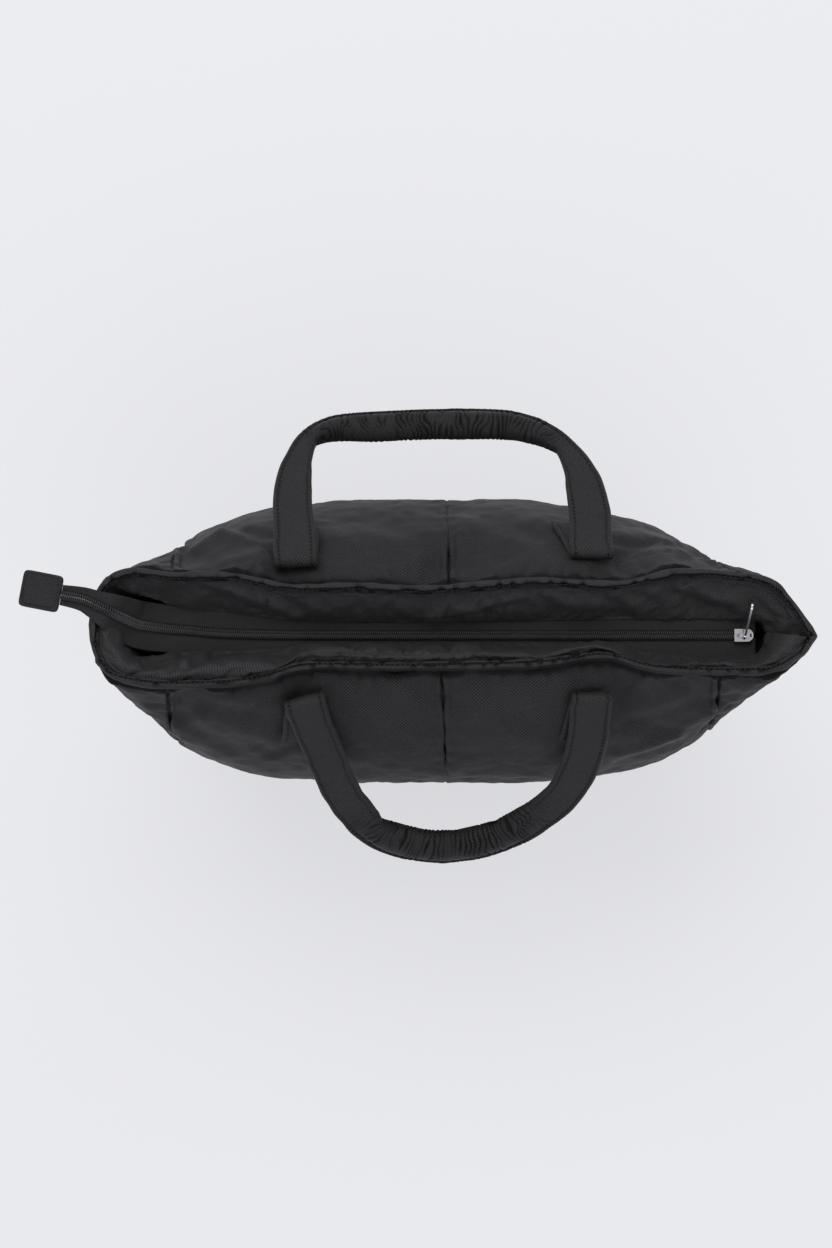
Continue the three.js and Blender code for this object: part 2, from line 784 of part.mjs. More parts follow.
// The tab lies in line with the free end of the tape, level across.
function makeTab() {
  const shape = roundedRectangle(TAB_LENGTH - 2 * TAB_BEVEL, TAB_WIDTH - 2 * TAB_BEVEL, TAB_CORNER);
  const geometry = new THREE.ExtrudeGeometry(shape, {
    depth: TAB_THICKNESS - 2 * TAB_BEVEL,
    bevelThickness: TAB_BEVEL,
    bevelSize: TAB_BEVEL,
    bevelSegments: 1,
    curveSegments: 3,
  });
  geometry.translate(0, 0, TAB_BEVEL - TAB_THICKNESS / 2);
  const { point, along, back, up } = zipFrame(ZIP_START);
  const placed = new THREE.Matrix4().makeBasis(along, back, up);
  placed.setPosition(point.addScaledVector(along, -(TAB_LENGTH / 2 + GAP)));
  return geometryFrom(solidFrom(geometry.applyMatrix4(placed)));
}

// Slider and pull

const SLIDER_POINT = zipFrame(SLIDER_ACROSS).point;
const TOP_PLATE_BOTTOM = CHAIN_TOP + GAP;
const TOP_PLATE_TOP = TOP_PLATE_BOTTOM + PLATE_THICKNESS;
const BOTTOM_PLATE_TOP = -(TAPE_THICKNESS / 2 + GAP);
const PIVOT_HEIGHT = TOP_PLATE_TOP + BRIDGE_CLEARANCE + BRIDGE_BAR / 2;
const SLIDER_WALL = (SLIDER_WIDTH - CHAIN_WIDTH) / 2 - GAP;

function box(low, high) {
  const size = high.map((value, axis) => value - low[axis]);
  const geometry = new THREE.BoxGeometry(...size);
  geometry.translate(...low.map((value, axis) => value + size[axis] / 2));
  return geometry;
}

// The slider's plan: square where the closed chain leaves it and round at its nose.
function sliderPlate(bottom, top) {
  const half = SLIDER_WIDTH / 2;
  const back = -SLIDER_LENGTH / 2;
  const nose = SLIDER_LENGTH / 2 - half;
  const shape = new THREE.Shape();
  shape.moveTo(back, -half);
  shape.lineTo(nose, -half);
  shape.absarc(nose, 0, half, -Math.PI / 2, Math.PI / 2, false);
  shape.lineTo(back, half);
  shape.closePath();
  const geometry = new THREE.ExtrudeGeometry(shape, {
    depth: top - bottom,
    bevelEnabled: false,
    curveSegments: 8,
  });
  return geometry.translate(0, 0, bottom);
}

function bridgeArch() {
  const half = BRIDGE_LENGTH / 2;
  const crown = BRIDGE_CLEARANCE + BRIDGE_BAR;
  const corner = BRIDGE_BAR;
  const shape = new THREE.Shape();
  shape.moveTo(-half, -PLATE_THICKNESS / 2);
  shape.lineTo(-half, crown - corner);
  shape.lineTo(-half + corner, crown);
  shape.lineTo(half - corner, crown);
  shape.lineTo(half, crown - corner);
  shape.lineTo(half, -PLATE_THICKNESS / 2);
  shape.lineTo(half - BRIDGE_BAR, -PLATE_THICKNESS / 2);
  shape.lineTo(half - BRIDGE_BAR, BRIDGE_CLEARANCE);
  shape.lineTo(-half + BRIDGE_BAR, BRIDGE_CLEARANCE);
  shape.lineTo(-half + BRIDGE_BAR, -PLATE_THICKNESS / 2);
  shape.closePath();
  const geometry = new THREE.ExtrudeGeometry(shape, { depth: BRIDGE_WIDTH, bevelEnabled: false });
  geometry.rotateX(Math.PI / 2);
  return geometry.translate(0, BRIDGE_WIDTH / 2, TOP_PLATE_TOP);
}

function makeSliderBody() {
  const half = SLIDER_WIDTH / 2;
  const back = -SLIDER_LENGTH / 2;
  const wallEnd = SLIDER_LENGTH / 2 - half;
  const wallBottom = TAPE_THICKNESS / 2 + GAP;
  const coreStart = back + SLIDER_LENGTH * 0.62;
  const coreEnd = SLIDER_LENGTH / 2 - PLATE_THICKNESS;
  const plateOverlap = PLATE_THICKNESS / 2;
  const coreBottom = BOTTOM_PLATE_TOP - plateOverlap;
  const coreTop = TOP_PLATE_BOTTOM + plateOverlap;
  const pieces = [
    sliderPlate(BOTTOM_PLATE_TOP - PLATE_THICKNESS, BOTTOM_PLATE_TOP),
    box([back, half - SLIDER_WALL, wallBottom], [wallEnd, half, coreTop]),
    box([back, -half, wallBottom], [wallEnd, SLIDER_WALL - half, coreTop]),
    box([coreStart, -CORE_WIDTH / 2, coreBottom], [coreEnd, CORE_WIDTH / 2, coreTop]),
    bridgeArch(),
  ];
  let solid = solidFrom(sliderPlate(TOP_PLATE_BOTTOM, TOP_PLATE_TOP));
  for (const piece of pieces) {
    solid = solid.add(solidFrom(piece));
  }
  return geometryFrom(solid);
}

// The pull's outline in its own plane: a ring round the bridge's bar, a neck and a blade.
function makePull() {
  const ring = PULL_HOLE_RADIUS + PULL_RING_WALL;
  const half = PULL_WIDTH / 2;
  const neck = ring * 1.7;
  const shoulder = neck + half * 0.6;
  const shape = new THREE.Shape();
  shape.absarc(0, 0, ring, Math.PI * 0.85, Math.PI * 2.15, false);
  shape.lineTo(half, shoulder);
  shape.lineTo(half, PULL_LENGTH - half);
  shape.absarc(0, PULL_LENGTH - half, half, 0, Math.PI, false);
  shape.lineTo(-half, shoulder);
  shape.closePath();
  const hole = new THREE.Path();
  hole.absarc(0, 0, PULL_HOLE_RADIUS, 0, 2 * Math.PI, true);
  shape.holes.push(hole);
  const geometry = new THREE.ExtrudeGeometry(shape, {
    depth: PULL_THICKNESS,
    bevelEnabled: false,
    curveSegments: 8,
  });
  geometry.translate(0, 0, -PULL_THICKNESS / 2);
  return geometryFrom(solidFrom(geometry));
}

// Handles

// The places on a panel's face below one point of the hem, with the length down to each.
const WALK_STEPS = 60;
const WALK_DOWN_TO = 0.6;

function faceWalk(side, across) {
  const turn = turnOf(side, across);
  const walk = [];
  let length = 0;
  let last = null;
  for (let step = 0; step <= WALK_STEPS; step += 1) {
    const height = mix(1, WALK_DOWN_TO, step / WALK_STEPS);
    const point = outerPoint(turn, height);
    if (last) {
      length += point.distanceTo(last);
    }
    walk.push({ point, length });
    last = point;
  }
  return walk;
}

// Where a panel's face lies, a length down from one point of the hem.
function facePoint(side, across, down) {
  const walk = faceWalk(side, across);
  const index = Math.max(1, walk.findIndex((entry) => entry.length >= down));
  const low = walk[index - 1];
  const high = walk[index];
  const part = (down - low.length) / (high.length - low.length);
  return low.point.clone().lerp(high.point, part);
}

// The place along a panel whose face lies at x, that far down.
const PLACE_PASSES = 4;

function placeAt(side, x, down) {
  const run = MOUTH_HALF_LENGTH + MOUTH_HALF_DEPTH / 2;
  let across = x / run;
  for (let pass = 0; pass < PLACE_PASSES; pass += 1) {
    across += (x - facePoint(side, across, down).x) / run;
  }
  return across;
}

// A frame on a panel's face, raised to clear the face across the strap's width.
function onFace(side, across, down) {
  const at = (place, length) => facePoint(side, place, length);
  const reach = PATCH_LENGTH / 8;
  const spread = STRAP_WIDTH / 4 / MOUTH_HALF_LENGTH;
  const point = at(across, down);
  const up = at(across, down - reach).sub(at(across, down + reach)).normalize();
  const right = at(across + spread, down).sub(at(across - spread, down)).normalize();
  const normal = (side === "front" ? right.cross(up) : up.clone().cross(right)).normalize();
  let rise = 0;
  for (const aside of [-2, -1, 1, 2]) {
    for (const below of [-reach, 0, reach]) {
      const beside = at(across + aside * spread, Math.max(0, down + below));
      rise = Math.max(rise, beside.sub(point).dot(normal));
    }
  }
  return { point: point.addScaledVector(normal, rise), up, normal };
}

const STRAP_PROFILE = [0, 45, 90, 135, 180, 225, 270, 315].map(radians);
const FLATNESS = 0.55;

function strapRing(station) {
  const { point, across, normal, halfWidth, halfThickness } = station;
  return STRAP_PROFILE.map((angle) => {
    const wide = Math.sign(Math.cos(angle)) * Math.abs(Math.cos(angle)) ** FLATNESS;
    const thick = Math.sign(Math.sin(angle)) * Math.abs(Math.sin(angle)) ** FLATNESS;
    const rounded = Math.abs(Math.cos(angle)) < 1e-6 ? 0 : wide;
    const raised = Math.abs(Math.sin(angle)) < 1e-6 ? 0 : thick;
    return point
      .clone()
      .addScaledVector(across, halfWidth * rounded)
      .addScaledVector(normal, halfThickness * raised);
  });
}

// The frame at the top of a patch, tipped away from the panel for the fold.
function tipped({ point, up, normal }) {
  const across = up.clone().cross(normal);
  const turn = (direction) => direction.clone().applyAxisAngle(across, -radians(FOLD_TIP));
  return { point, up: turn(up), normal: turn(normal) };
}

// The sewn patch and the fold above it, from the patch's lower end to the start of the leg.
function patchStations(side, attach, width) {
  const stations = [];
  const halfWidth = (STRAP_WIDTH * width) / 2;
  const lift = PATCH_GAP + PATCH_THICKNESS / 2;
  const patchAt = (below) => {
    const lean = (attach.lean * below * PATCH_LENGTH) / MOUTH_HALF_LENGTH;
    const face = onFace(side, attach.across + lean, (attach.drop + below) * PATCH_LENGTH);
    const point = face.point.clone().addScaledVector(face.normal, lift);
    return { ...face, point };
  };
  for (let step = 0; step < PATCH_STEPS; step += 1) {
    const { point, up, normal } = patchAt(1 - step / PATCH_STEPS);
    const across = up.clone().cross(normal);
    stations.push({ point, across, normal, halfWidth, halfThickness: PATCH_THICKNESS / 2 });
  }
  const start = tipped(patchAt(0));
  const slant = radians(attach.slant);
  const across = start.up.clone().cross(start.normal).applyAxisAngle(start.normal, slant);
  const radius = STRAP_THICKNESS / 2 + GAP;
  const centre = start.point.clone().addScaledVector(start.normal, radius);
  for (let step = 0; step <= FOLD_STEPS; step += 1) {
    const turned = step / FOLD_STEPS;
    const normal = start.normal.clone().applyAxisAngle(across, Math.PI * turned);
    const point = centre.clone().addScaledVector(normal, -radius);
    const halfThickness = mix(PATCH_THICKNESS, STRAP_THICKNESS, turned) / 2;
    stations.push({ point, across, normal, halfWidth: halfWidth / Math.cos(slant), halfThickness });
  }
  return stations;
}

// The loop in its own sloping plane, from one fold to the other.
function loopStations(side, loop, reach, slope, from, to) {
  const outSign = side === "front" ? -1 : 1;
  const out = new THREE.Vector3(0, outSign * Math.cos(radians(slope)), -Math.sin(radians(slope)));
  const normal = new THREE.Vector3(0, -outSign * out.z, outSign * out.y).multiplyScalar(-1);
  const first = loop[0];
  const last = loop[loop.length - 1];
  const curve = new THREE.CatmullRomCurve3(
    loop.map((row) => {
      const share = (row.across - first.across) / (last.across - first.across);
      const origin = from.clone().lerp(to, share);
      origin.x = row.across * HANDLE_HALF_SPREAD;
      return origin.addScaledVector(out, row.out * reach);
    }),
    false,
    "centripetal",
  );
  curve.arcLengthDivisions = 400;
  const stations = [];
  for (let step = 1; step < LOOP_STEPS; step += 1) {
    const place = step / LOOP_STEPS;
    const along = curve.getTangentAt(place);
    const across = along.clone().cross(normal).normalize();
    const row = curve.getUtoTmapping(place) * (loop.length - 1);
    const low = loop[Math.floor(row)];
    const high = loop[Math.min(loop.length - 1, Math.floor(row) + 1)];
    const roll = mix(low.roll, high.roll, row % 1);
    const width = mix(low.width, high.width, row % 1);
    stations.push({
      point: curve.getPointAt(place),
      across,
      normal: across.clone().cross(along),
      halfWidth: (STRAP_WIDTH * width) / 2,
      halfThickness: mix(STRAP_THICKNESS, GRIP_THICKNESS, smoothStep(roll)) / 2,
    });
  }
  return stations;
}

function makeHandle(side, loop, ends, reach, slope) {
  const [left, right] = [loop[0], loop[loop.length - 1]].map((row, end) => {
    const down = ends[end].drop * PATCH_LENGTH;
    const across = placeAt(side, row.across * HANDLE_HALF_SPREAD, down);
    return patchStations(side, { ...ends[end], across }, row.width);
  });
  const from = left[left.length - 1].point;
  const to = right[right.length - 1].point;
  const middle = loopStations(side, loop, reach, slope, from, to);
  const flipped = right.reverse().map((station) => ({
    ...station,
    across: station.across.clone().negate(),
  }));
  return loftGeometry([...left, ...middle, ...flipped].map(strapRing), false);
}

// Materials and the finished bag

const NYLON = { color: 0x1f1f21, roughness: 0.62, metalness: 0 };
const COIL = { color: 0x3a3a3d, roughness: 0.5, metalness: 0 };
const STEEL = { color: 0xd4d5d8, roughness: 0.25, metalness: 1 };

function mesh(name, geometry, finish) {
  const made = new THREE.Mesh(geometry, new THREE.MeshStandardMaterial(finish));
  made.name = name;
  return made;
}

const bag = new THREE.Group();
bag.add(mesh("front_panel", makePanel("front"), NYLON));
bag.add(mesh("back_panel", makePanel("back"), NYLON));
bag.add(mesh("base_panel", makeBase(), NYLON));
bag.add(mesh("rim_hem", makeHem(), NYLON));
bag.add(mesh("facing_front", makeFacing("front"), NYLON));
bag.add(mesh("facing_back", makeFacing("back"), NYLON));
bag.add(mesh("zip_tape_front", makeTape("front"), NYLON));
bag.add(mesh("zip_tape_back", makeTape("back"), NYLON));
bag.add(mesh("zip_chain", makeChain(), COIL));
bag.add(mesh("zip_end_tab", makeTab(), NYLON));
const frontHandle = makeHandle("front", FRONT_LOOP, FRONT_ENDS, FRONT_REACH, FRONT_SLOPE);
const backHandle = makeHandle("back", BACK_LOOP, BACK_ENDS, BACK_REACH, BACK_SLOPE);
bag.add(mesh("front_handle", frontHandle, NYLON));
bag.add(mesh("back_handle", backHandle, NYLON));

const slider = new THREE.Group();
slider.position.copy(SLIDER_POINT);
slider.add(mesh("slider_body", makeSliderBody(), STEEL));
bag.add(slider);

// The pull stands on edge across the zip and leans to the back.
const pull = mesh("slider_pull", makePull(), STEEL);
pull.position.set(0, 0, PIVOT_HEIGHT);
const pullAxis = new THREE.Vector3(Math.cos(radians(PULL_TURN)), -Math.sin(radians(PULL_TURN)), 0);
const pullOut = new THREE.Vector3(Math.sin(radians(PULL_TURN)), Math.cos(radians(PULL_TURN)), 0)
  .multiplyScalar(Math.sin(radians(PULL_LEAN)))
  .add(new THREE.Vector3(0, 0, Math.cos(radians(PULL_LEAN))));
const pullSide = pullOut.clone().cross(pullAxis);
pull.quaternion.setFromRotationMatrix(new THREE.Matrix4().makeBasis(pullSide, pullOut, pullAxis));
slider.add(pull);

export default bag;
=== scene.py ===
"""A black quilted tote bag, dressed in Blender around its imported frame."""

import math

import bpy
import numpy as np
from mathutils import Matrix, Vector


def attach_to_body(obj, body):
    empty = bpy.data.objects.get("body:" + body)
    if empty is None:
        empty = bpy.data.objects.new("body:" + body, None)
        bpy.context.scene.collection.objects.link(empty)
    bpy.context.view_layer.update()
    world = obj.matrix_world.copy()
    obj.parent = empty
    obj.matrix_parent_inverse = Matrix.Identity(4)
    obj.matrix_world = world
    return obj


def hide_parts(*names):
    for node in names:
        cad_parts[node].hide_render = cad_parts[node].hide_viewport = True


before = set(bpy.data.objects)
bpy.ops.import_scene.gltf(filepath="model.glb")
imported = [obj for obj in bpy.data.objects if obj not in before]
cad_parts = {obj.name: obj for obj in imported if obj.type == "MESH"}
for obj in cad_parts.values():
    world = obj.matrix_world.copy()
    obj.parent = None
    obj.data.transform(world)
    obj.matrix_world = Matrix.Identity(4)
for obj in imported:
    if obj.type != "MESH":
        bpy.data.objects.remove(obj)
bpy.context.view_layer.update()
MM = 0.001

# Sizes that the bag's source gives, in millimetres
HEIGHT = 312.0
MOUTH_HALF_LENGTH = 237.0
MOUTH_HALF_DEPTH = 36.0
MOUTH_SHIFT = 8.0
BELLY_HALF_LENGTH = 203.0
BELLY_HALF_DEPTH = 92.0
BELLY_SHIFT = -1.5
RIGHT_DRAWN_IN = 0.955
WALL = 9.0
WALL_AT_TOP = 2.8
PUFF = 9.0
HEM_HEIGHT = 9.0
HEM_THICKNESS = 5.4
FACING_BULGE = 2.4
ZIP_DROP = 37.0
TAPE_HALF_WIDTH = 16.0
TAPE_THICKNESS = 1.0
TAB_LENGTH = 28.0
TAB_WIDTH = 24.5
TAB_THICKNESS = 4.4
HANDLE_HALF_SPREAD = 97.0
STRAP_WIDTH = 29.0
STRAP_THICKNESS = 6.0
GRIP_THICKNESS = 19.0
PATCH_LENGTH = 36.0
PATCH_THICKNESS = 3.6
FOLD_TIP = 14.0
GAP = 0.3
PANEL_TOP = HEIGHT - HEM_HEIGHT - GAP
RIM_PULL_FROM = 0.6
WALL_TAPER = 0.14
SLIDER_ACROSS = 0.836
TAPE_LEAVES = -0.83
TAPE_LEAVING = 0.04


def table(names, rows):
    """Named columns from a list of rows."""
    columns = np.array(rows, dtype=float).T
    return dict(zip(names.split(), columns))


LEVELS = table("height length depth square", [
    (0.0, 0.78, 0.76, 4.0),
    (0.02, 0.82, 0.84, 4.0),
    (0.06, 0.865, 0.92, 4.0),
    (0.14, 0.91, 0.98, 3.9),
    (0.28, 0.95, 1.01, 3.7),
    (0.5, 0.99, 1.0, 3.6),
    (0.65, 1.03, 1.01, 3.5),
    (0.75, 1.045, 1.0, 3.4),
    (0.86, 1.065, 0.97, 3.4),
    (0.93, 1.08, 0.86, 3.8),
    (1.0, 1.08, 0.7, 4.2),
])
CORNERS = {
    "front": {"left": 0.94, "right": 0.84},
    "back": {"left": 0.84, "right": 0.7},
}
RIM = {
    "back": table("across back dip", [
        (-0.985, 0.04, 0.5), (-0.975, 0.45, 0.5), (-0.945, 0.82, 0.5), (-0.88, 1.0, 0.2),
        (-0.76, 0.93, 0.0), (-0.6, 0.925, 0.0), (-0.44, 0.73, 0.2), (-0.27, 0.74, 0.0),
        (-0.06, 0.69, 0.1), (0.25, 0.83, 0.0), (0.475, 0.78, 0.2), (0.64, 0.99, 0.0),
        (0.8, 0.94, 0.0), (0.89, 0.82, 0.0), (0.95, 0.45, 0.1), (1.015, -0.17, 0.2),
    ]),
    "front": table("across back dip", [
        (-0.985, 0.04, 0.5), (-0.975, -0.42, 0.4), (-0.94, -0.82, 0.3), (-0.85, -1.0, 0.1),
        (-0.62, -1.01, 0.0), (-0.5, -0.9, 0.1), (-0.41, -0.72, 0.2), (-0.13, -0.71, 0.0),
        (0.25, -0.65, 0.0), (0.44, -0.52, 0.2), (0.56, -0.72, 0.0), (0.8, -0.79, 0.0),
        (0.9, -0.75, 0.0), (0.97, -0.49, 0.1), (1.015, -0.17, 0.2),
    ]),
}
FACING_SEAM = {
    "back": table("across back", [
        (-0.905, 0.11), (-0.9, 0.45), (-0.885, 0.62), (-0.86, 0.62), (-0.82, 0.53),
        (-0.77, 0.42), (-0.73, 0.36), (-0.63, 0.3), (-0.42, 0.13), (0.0, 0.11),
        (0.45, 0.15), (0.82, 0.16), (0.88, 0.14), (0.9, -0.1),
    ]),
    "front": table("across back", [
        (-0.905, 0.11), (-0.9, -0.2), (-0.87, -0.5), (-0.82, -0.53), (-0.77, -0.46),
        (-0.73, -0.45), (-0.53, -0.4), (-0.25, -0.31), (0.0, -0.31), (0.42, -0.3),
        (0.56, -0.44), (0.8, -0.54), (0.88, -0.46), (0.9, -0.1),
    ]),
}
ZIP = table("across back drop width", [
    (-1.072, 0.6, 0.16, 0.42), (-1.01, 0.52, 0.09, 0.5), (-0.975, 0.42, 0.08, 0.6),
    (-0.937, 0.3, 0.13, 0.76), (-0.903, 0.18, 0.36, 0.9), (-0.865, 0.06, 0.64, 1.0),
    (-0.8, -0.01, 0.87, 1.0), (-0.73, -0.05, 0.96, 1.0), (-0.65, -0.1, 1.0, 1.0),
    (-0.5, -0.13, 1.0, 1.0), (-0.25, -0.14, 1.0, 1.0), (0.0, -0.14, 1.0, 1.0),
    (0.4, -0.14, 1.0, 1.0), (0.78, -0.14, 1.0, 1.0), (0.875, -0.14, 1.0, 1.0),
])
ZIP_START = ZIP["across"][0]
ZIP_END = ZIP["across"][-1]
SEAMS = table("across fullness", [(-1, 0.1), (-0.715, 0.45), (0, 0.7), (0.73, 0.5), (1, 0.1)])
LOOPS = {
    "front": table("across out width roll", [
        (-0.975, 0.0, 0.95, 0), (-0.92, 0.15, 0.95, 0), (-0.855, 0.31, 0.93, 0), (-0.76, 0.55, 0.92, 0),
        (-0.65, 0.72, 0.94, 0.2), (-0.44, 0.91, 0.95, 0.9), (-0.04, 1.0, 0.97, 1), (0.37, 0.93, 0.95, 0.9),
        (0.66, 0.77, 0.92, 0.4), (0.82, 0.63, 0.92, 0.1), (0.92, 0.45, 0.93, 0), (0.97, 0.25, 0.95, 0),
        (0.98, 0.0, 0.95, 0),
    ]),
    "back": table("across out width roll", [
        (-1.04, 0.0, 1.0, 0), (-1.05, 0.2, 0.97, 0), (-1.07, 0.42, 0.9, 0), (-1.06, 0.59, 0.86, 0),
        (-1.01, 0.76, 0.8, 0.1), (-0.93, 0.89, 0.78, 0.5), (-0.8, 0.97, 0.79, 0.9), (-0.4, 1.0, 0.81, 1),
        (0.1, 1.0, 0.81, 1), (0.47, 0.97, 0.79, 0.9), (0.68, 0.87, 0.79, 0.6), (0.82, 0.73, 0.84, 0.1),
        (0.92, 0.56, 0.9, 0), (0.98, 0.3, 0.96, 0), (0.98, 0.0, 1.0, 0),
    ]),
}
ENDS = {
    "front": table("drop lean slant", [(0.61, -0.07, 16), (0.755, -0.22, -4)]),
    "back": table("drop lean slant", [(0.46, 0.07, 0), (0.65, -0.25, 0)]),
}
REACH = {"front": (133.0, 39.0), "back": (105.0, 31.0)}
OUT_SIGN = {"front": -1.0, "back": 1.0}


# Camera, straight above the mouth

CAMERA_ABOVE_RIM = 1600.0
CAMERA_AT = (-21.0, 10.5, HEIGHT + CAMERA_ABOVE_RIM)
SENSOR_WIDTH = 36.0
PIXEL_AT_RIM = 0.655
IMAGE_WIDTH = 832

scene = bpy.context.scene
scene.view_settings.view_transform = "Standard"
camera_data = bpy.data.cameras.new("camera")
camera_data.sensor_fit = "HORIZONTAL"
camera_data.sensor_width = SENSOR_WIDTH
camera_data.lens = SENSOR_WIDTH * CAMERA_ABOVE_RIM / (IMAGE_WIDTH * PIXEL_AT_RIM)
camera_data.clip_end = 20.0
camera = bpy.data.objects.new("camera", camera_data)
camera.location = [value * MM for value in CAMERA_AT]
scene.collection.objects.link(camera)
scene.camera = camera


# Small helpers


def mix(low, high, share):
    return low + (high - low) * share


def smooth(value):
    clamped = np.clip(value, 0.0, 1.0)
    return clamped * clamped * (3.0 - 2.0 * clamped)


def unit(vectors):
    return vectors / np.maximum(np.linalg.norm(vectors, axis=-1, keepdims=True), 1e-9)


def hill(distance, width):
    """1 at no distance, falling to nearly 0 at twice the width."""
    return np.exp(-((distance / width) ** 2))


def powered(value, power):
    """A value's size raised to a power, with its sign kept."""
    return np.sign(value) * np.abs(value) ** power


def ring(count):
    """Even angles once round."""
    return np.linspace(0.0, 2 * math.pi, count + 1)[:-1]


def level_right(along):
    """Level vectors of length 1, to the right of the way along."""
    return unit(np.stack([along[..., 1], -along[..., 0], np.zeros_like(along[..., 0])], axis=-1))


def running_lengths(points):
    """The length from the first point of a line to each of its points."""
    steps = np.linalg.norm(np.diff(points, axis=0), axis=1)
    return np.concatenate([[0.0], np.cumsum(steps)])


def between(places, keys, rows):
    """Rows of numbers read at places between their keys."""
    return np.stack([np.interp(places, keys, column) for column in rows.T], axis=-1)


def plane(u, v):
    """Each u with each v, as texture coordinates."""
    return np.stack(np.meshgrid(u, v), axis=-1).reshape(-1, 2)


def look_up(rows, key, column, place):
    """A column of a table at places between its rows, on a smooth curve."""
    keys = rows[key]
    values = rows[column]
    last = len(keys) - 1
    place = np.asarray(place, dtype=float)
    row = np.clip(np.searchsorted(keys, place, side="left") - 1, 0, last - 1)
    before = np.maximum(np.arange(last + 1) - 1, 0)
    after = np.minimum(np.arange(last + 1) + 1, last)
    slopes = (values[after] - values[before]) / (keys[after] - keys[before])
    span = keys[row + 1] - keys[row]
    share = np.clip((place - keys[row]) / span, 0.0, 1.0)
    square = share * share
    cube = square * share
    return (
        (2 * cube - 3 * square + 1) * values[row]
        + (cube - 2 * square + share) * span * slopes[row]
        + (3 * square - 2 * cube) * values[row + 1]
        + (cube - square) * span * slopes[row + 1]
    )


class Line:
    """A smooth line through points, read by its share of the length."""

    def __init__(self, points, samples=2400):
        points = np.asarray(points, dtype=float)
        padded = np.vstack([2 * points[0] - points[1], points, 2 * points[-1] - points[-2]])
        place = np.linspace(0, len(points) - 1, samples)
        index = np.minimum(place.astype(int), len(points) - 2)
        part = (place - index)[:, None]
        before, start, end, after = (padded[index + step] for step in range(4))
        gap_before, gap, gap_after = (
            np.maximum(np.linalg.norm(high - low, axis=1), 1e-6)[:, None] ** 0.5
            for low, high in ((before, start), (start, end), (end, after))
        )
        into = (start - before) / gap_before - (end - before) / (gap_before + gap) + (end - start) / gap
        out = (end - start) / gap - (after - start) / (gap + gap_after) + (after - end) / gap_after
        into *= gap
        out *= gap
        second = -3 * start + 3 * end - 2 * into - out
        third = 2 * start - 2 * end + into + out
        self.points = start + into * part + second * part**2 + third * part**3
        self.lengths = running_lengths(self.points)
        self.length = self.lengths[-1]
        self.places = place

    def at(self, share):
        return between(np.clip(share, 0.0, 1.0) * self.length, self.lengths, self.points)

    def row_at(self, share):
        """Where a share of the length lies in the table that the line came from."""
        return np.interp(np.clip(share, 0.0, 1.0) * self.length, self.lengths, self.places)


LATTICE = 257


def noise(x, y, seed, wrap=LATTICE):
    """Smooth random values from -1 to 1 over a plane, repeated along x after wrap steps."""
    lattice = np.random.RandomState(seed).uniform(-1.0, 1.0, (LATTICE, LATTICE))
    left = np.floor(x).astype(int)
    low = np.floor(y).astype(int)
    across = smooth(x - left)
    up = smooth(y - low)
    bottom, top = (
        mix(lattice[row % LATTICE, left % wrap], lattice[row % LATTICE, (left + 1) % wrap], across)
        for row in (low, low + 1)
    )
    return mix(bottom, top, up)


def turned(vectors, axis, degrees):
    """Vectors turned about an axis."""
    angle = math.radians(degrees)
    axis = np.asarray(axis, dtype=float)
    return (
        vectors * math.cos(angle)
        + np.cross(axis, vectors) * math.sin(angle)
        + axis * np.sum(vectors * axis, axis=-1, keepdims=True) * (1 - math.cos(angle))
    )


# Meshes


def mesh_object(name, points, faces, uvs=None, shade=None):
    """A smooth-shaded object from points in millimetres; uvs are in millimetres too."""
    mesh = bpy.data.meshes.new(name)
    mesh.from_pydata((np.asarray(points) * MM).tolist(), [], faces)
    mesh.polygons.foreach_set("use_smooth", [True] * len(mesh.polygons))
    if uvs is not None:
        layer = mesh.uv_layers.new(name="cloth")
        corners = np.empty(len(mesh.loops), dtype=np.int32)
        mesh.loops.foreach_get("vertex_index", corners)
        layer.data.foreach_set("uv", (np.asarray(uvs)[corners] * MM).astype(np.float32).ravel())
    mesh.validate()
    made = bpy.data.objects.new(name, mesh)
    scene.collection.objects.link(made)
    # The shade attribute carries painted shade, which darkens the cloth's colour where it is set
    if shade is not None:
        depth = made.data.attributes.new("shade", "FLOAT", "POINT")
        depth.data.foreach_set("value", np.ascontiguousarray(shade, dtype=np.float32).ravel())
    return made


def grid_faces(rows, columns, wrap=False, start=0, flip=False):
    """Quads over a grid of rows times columns points."""
    wide = columns if wrap else columns - 1
    row, column = np.meshgrid(np.arange(rows - 1), np.arange(wide), indexing="ij")
    right = (column + 1) % columns
    quads = np.stack([
        row * columns + column, row * columns + right,
        (row + 1) * columns + right, (row + 1) * columns + column,
    ], axis=-1).reshape(-1, 4) + start
    if flip:
        quads = quads[:, ::-1]
    return quads.tolist()


def grid_uvs(grid):
    """Lengths along and up a grid, averaged, as texture coordinates."""
    along = np.linalg.norm(np.diff(grid, axis=1), axis=2).mean(axis=0)
    up = np.linalg.norm(np.diff(grid, axis=0), axis=2).mean(axis=1)
    u = np.concatenate([[0.0], np.cumsum(along)])
    v = np.concatenate([[0.0], np.cumsum(up)])
    return plane(u, v)


def grid_object(name, grid, flip=False, shade=None):
    faces = grid_faces(*grid.shape[:2], flip=flip)
    return mesh_object(name, grid.reshape(-1, 3), faces, grid_uvs(grid), shade)


def loft_faces(rows, columns, flip=False):
    """Quads round a closed loft of rings, with its two ends filled."""
    faces = grid_faces(rows, columns, wrap=True, flip=flip)
    first = list(range(columns))
    last = [(rows - 1) * columns + column for column in range(columns)]
    faces.append(first if flip else first[::-1])
    faces.append(last[::-1] if flip else last)
    return faces


def loft_object(name, grid, uvs=None, shade=None, flip=False):
    """A tube with filled ends, from a grid whose rows are its rings."""
    return mesh_object(name, grid.reshape(-1, 3), loft_faces(*grid.shape[:2], flip), uvs, shade)


def dress(piece, material):
    piece.data.materials.clear()
    piece.data.materials.append(material)


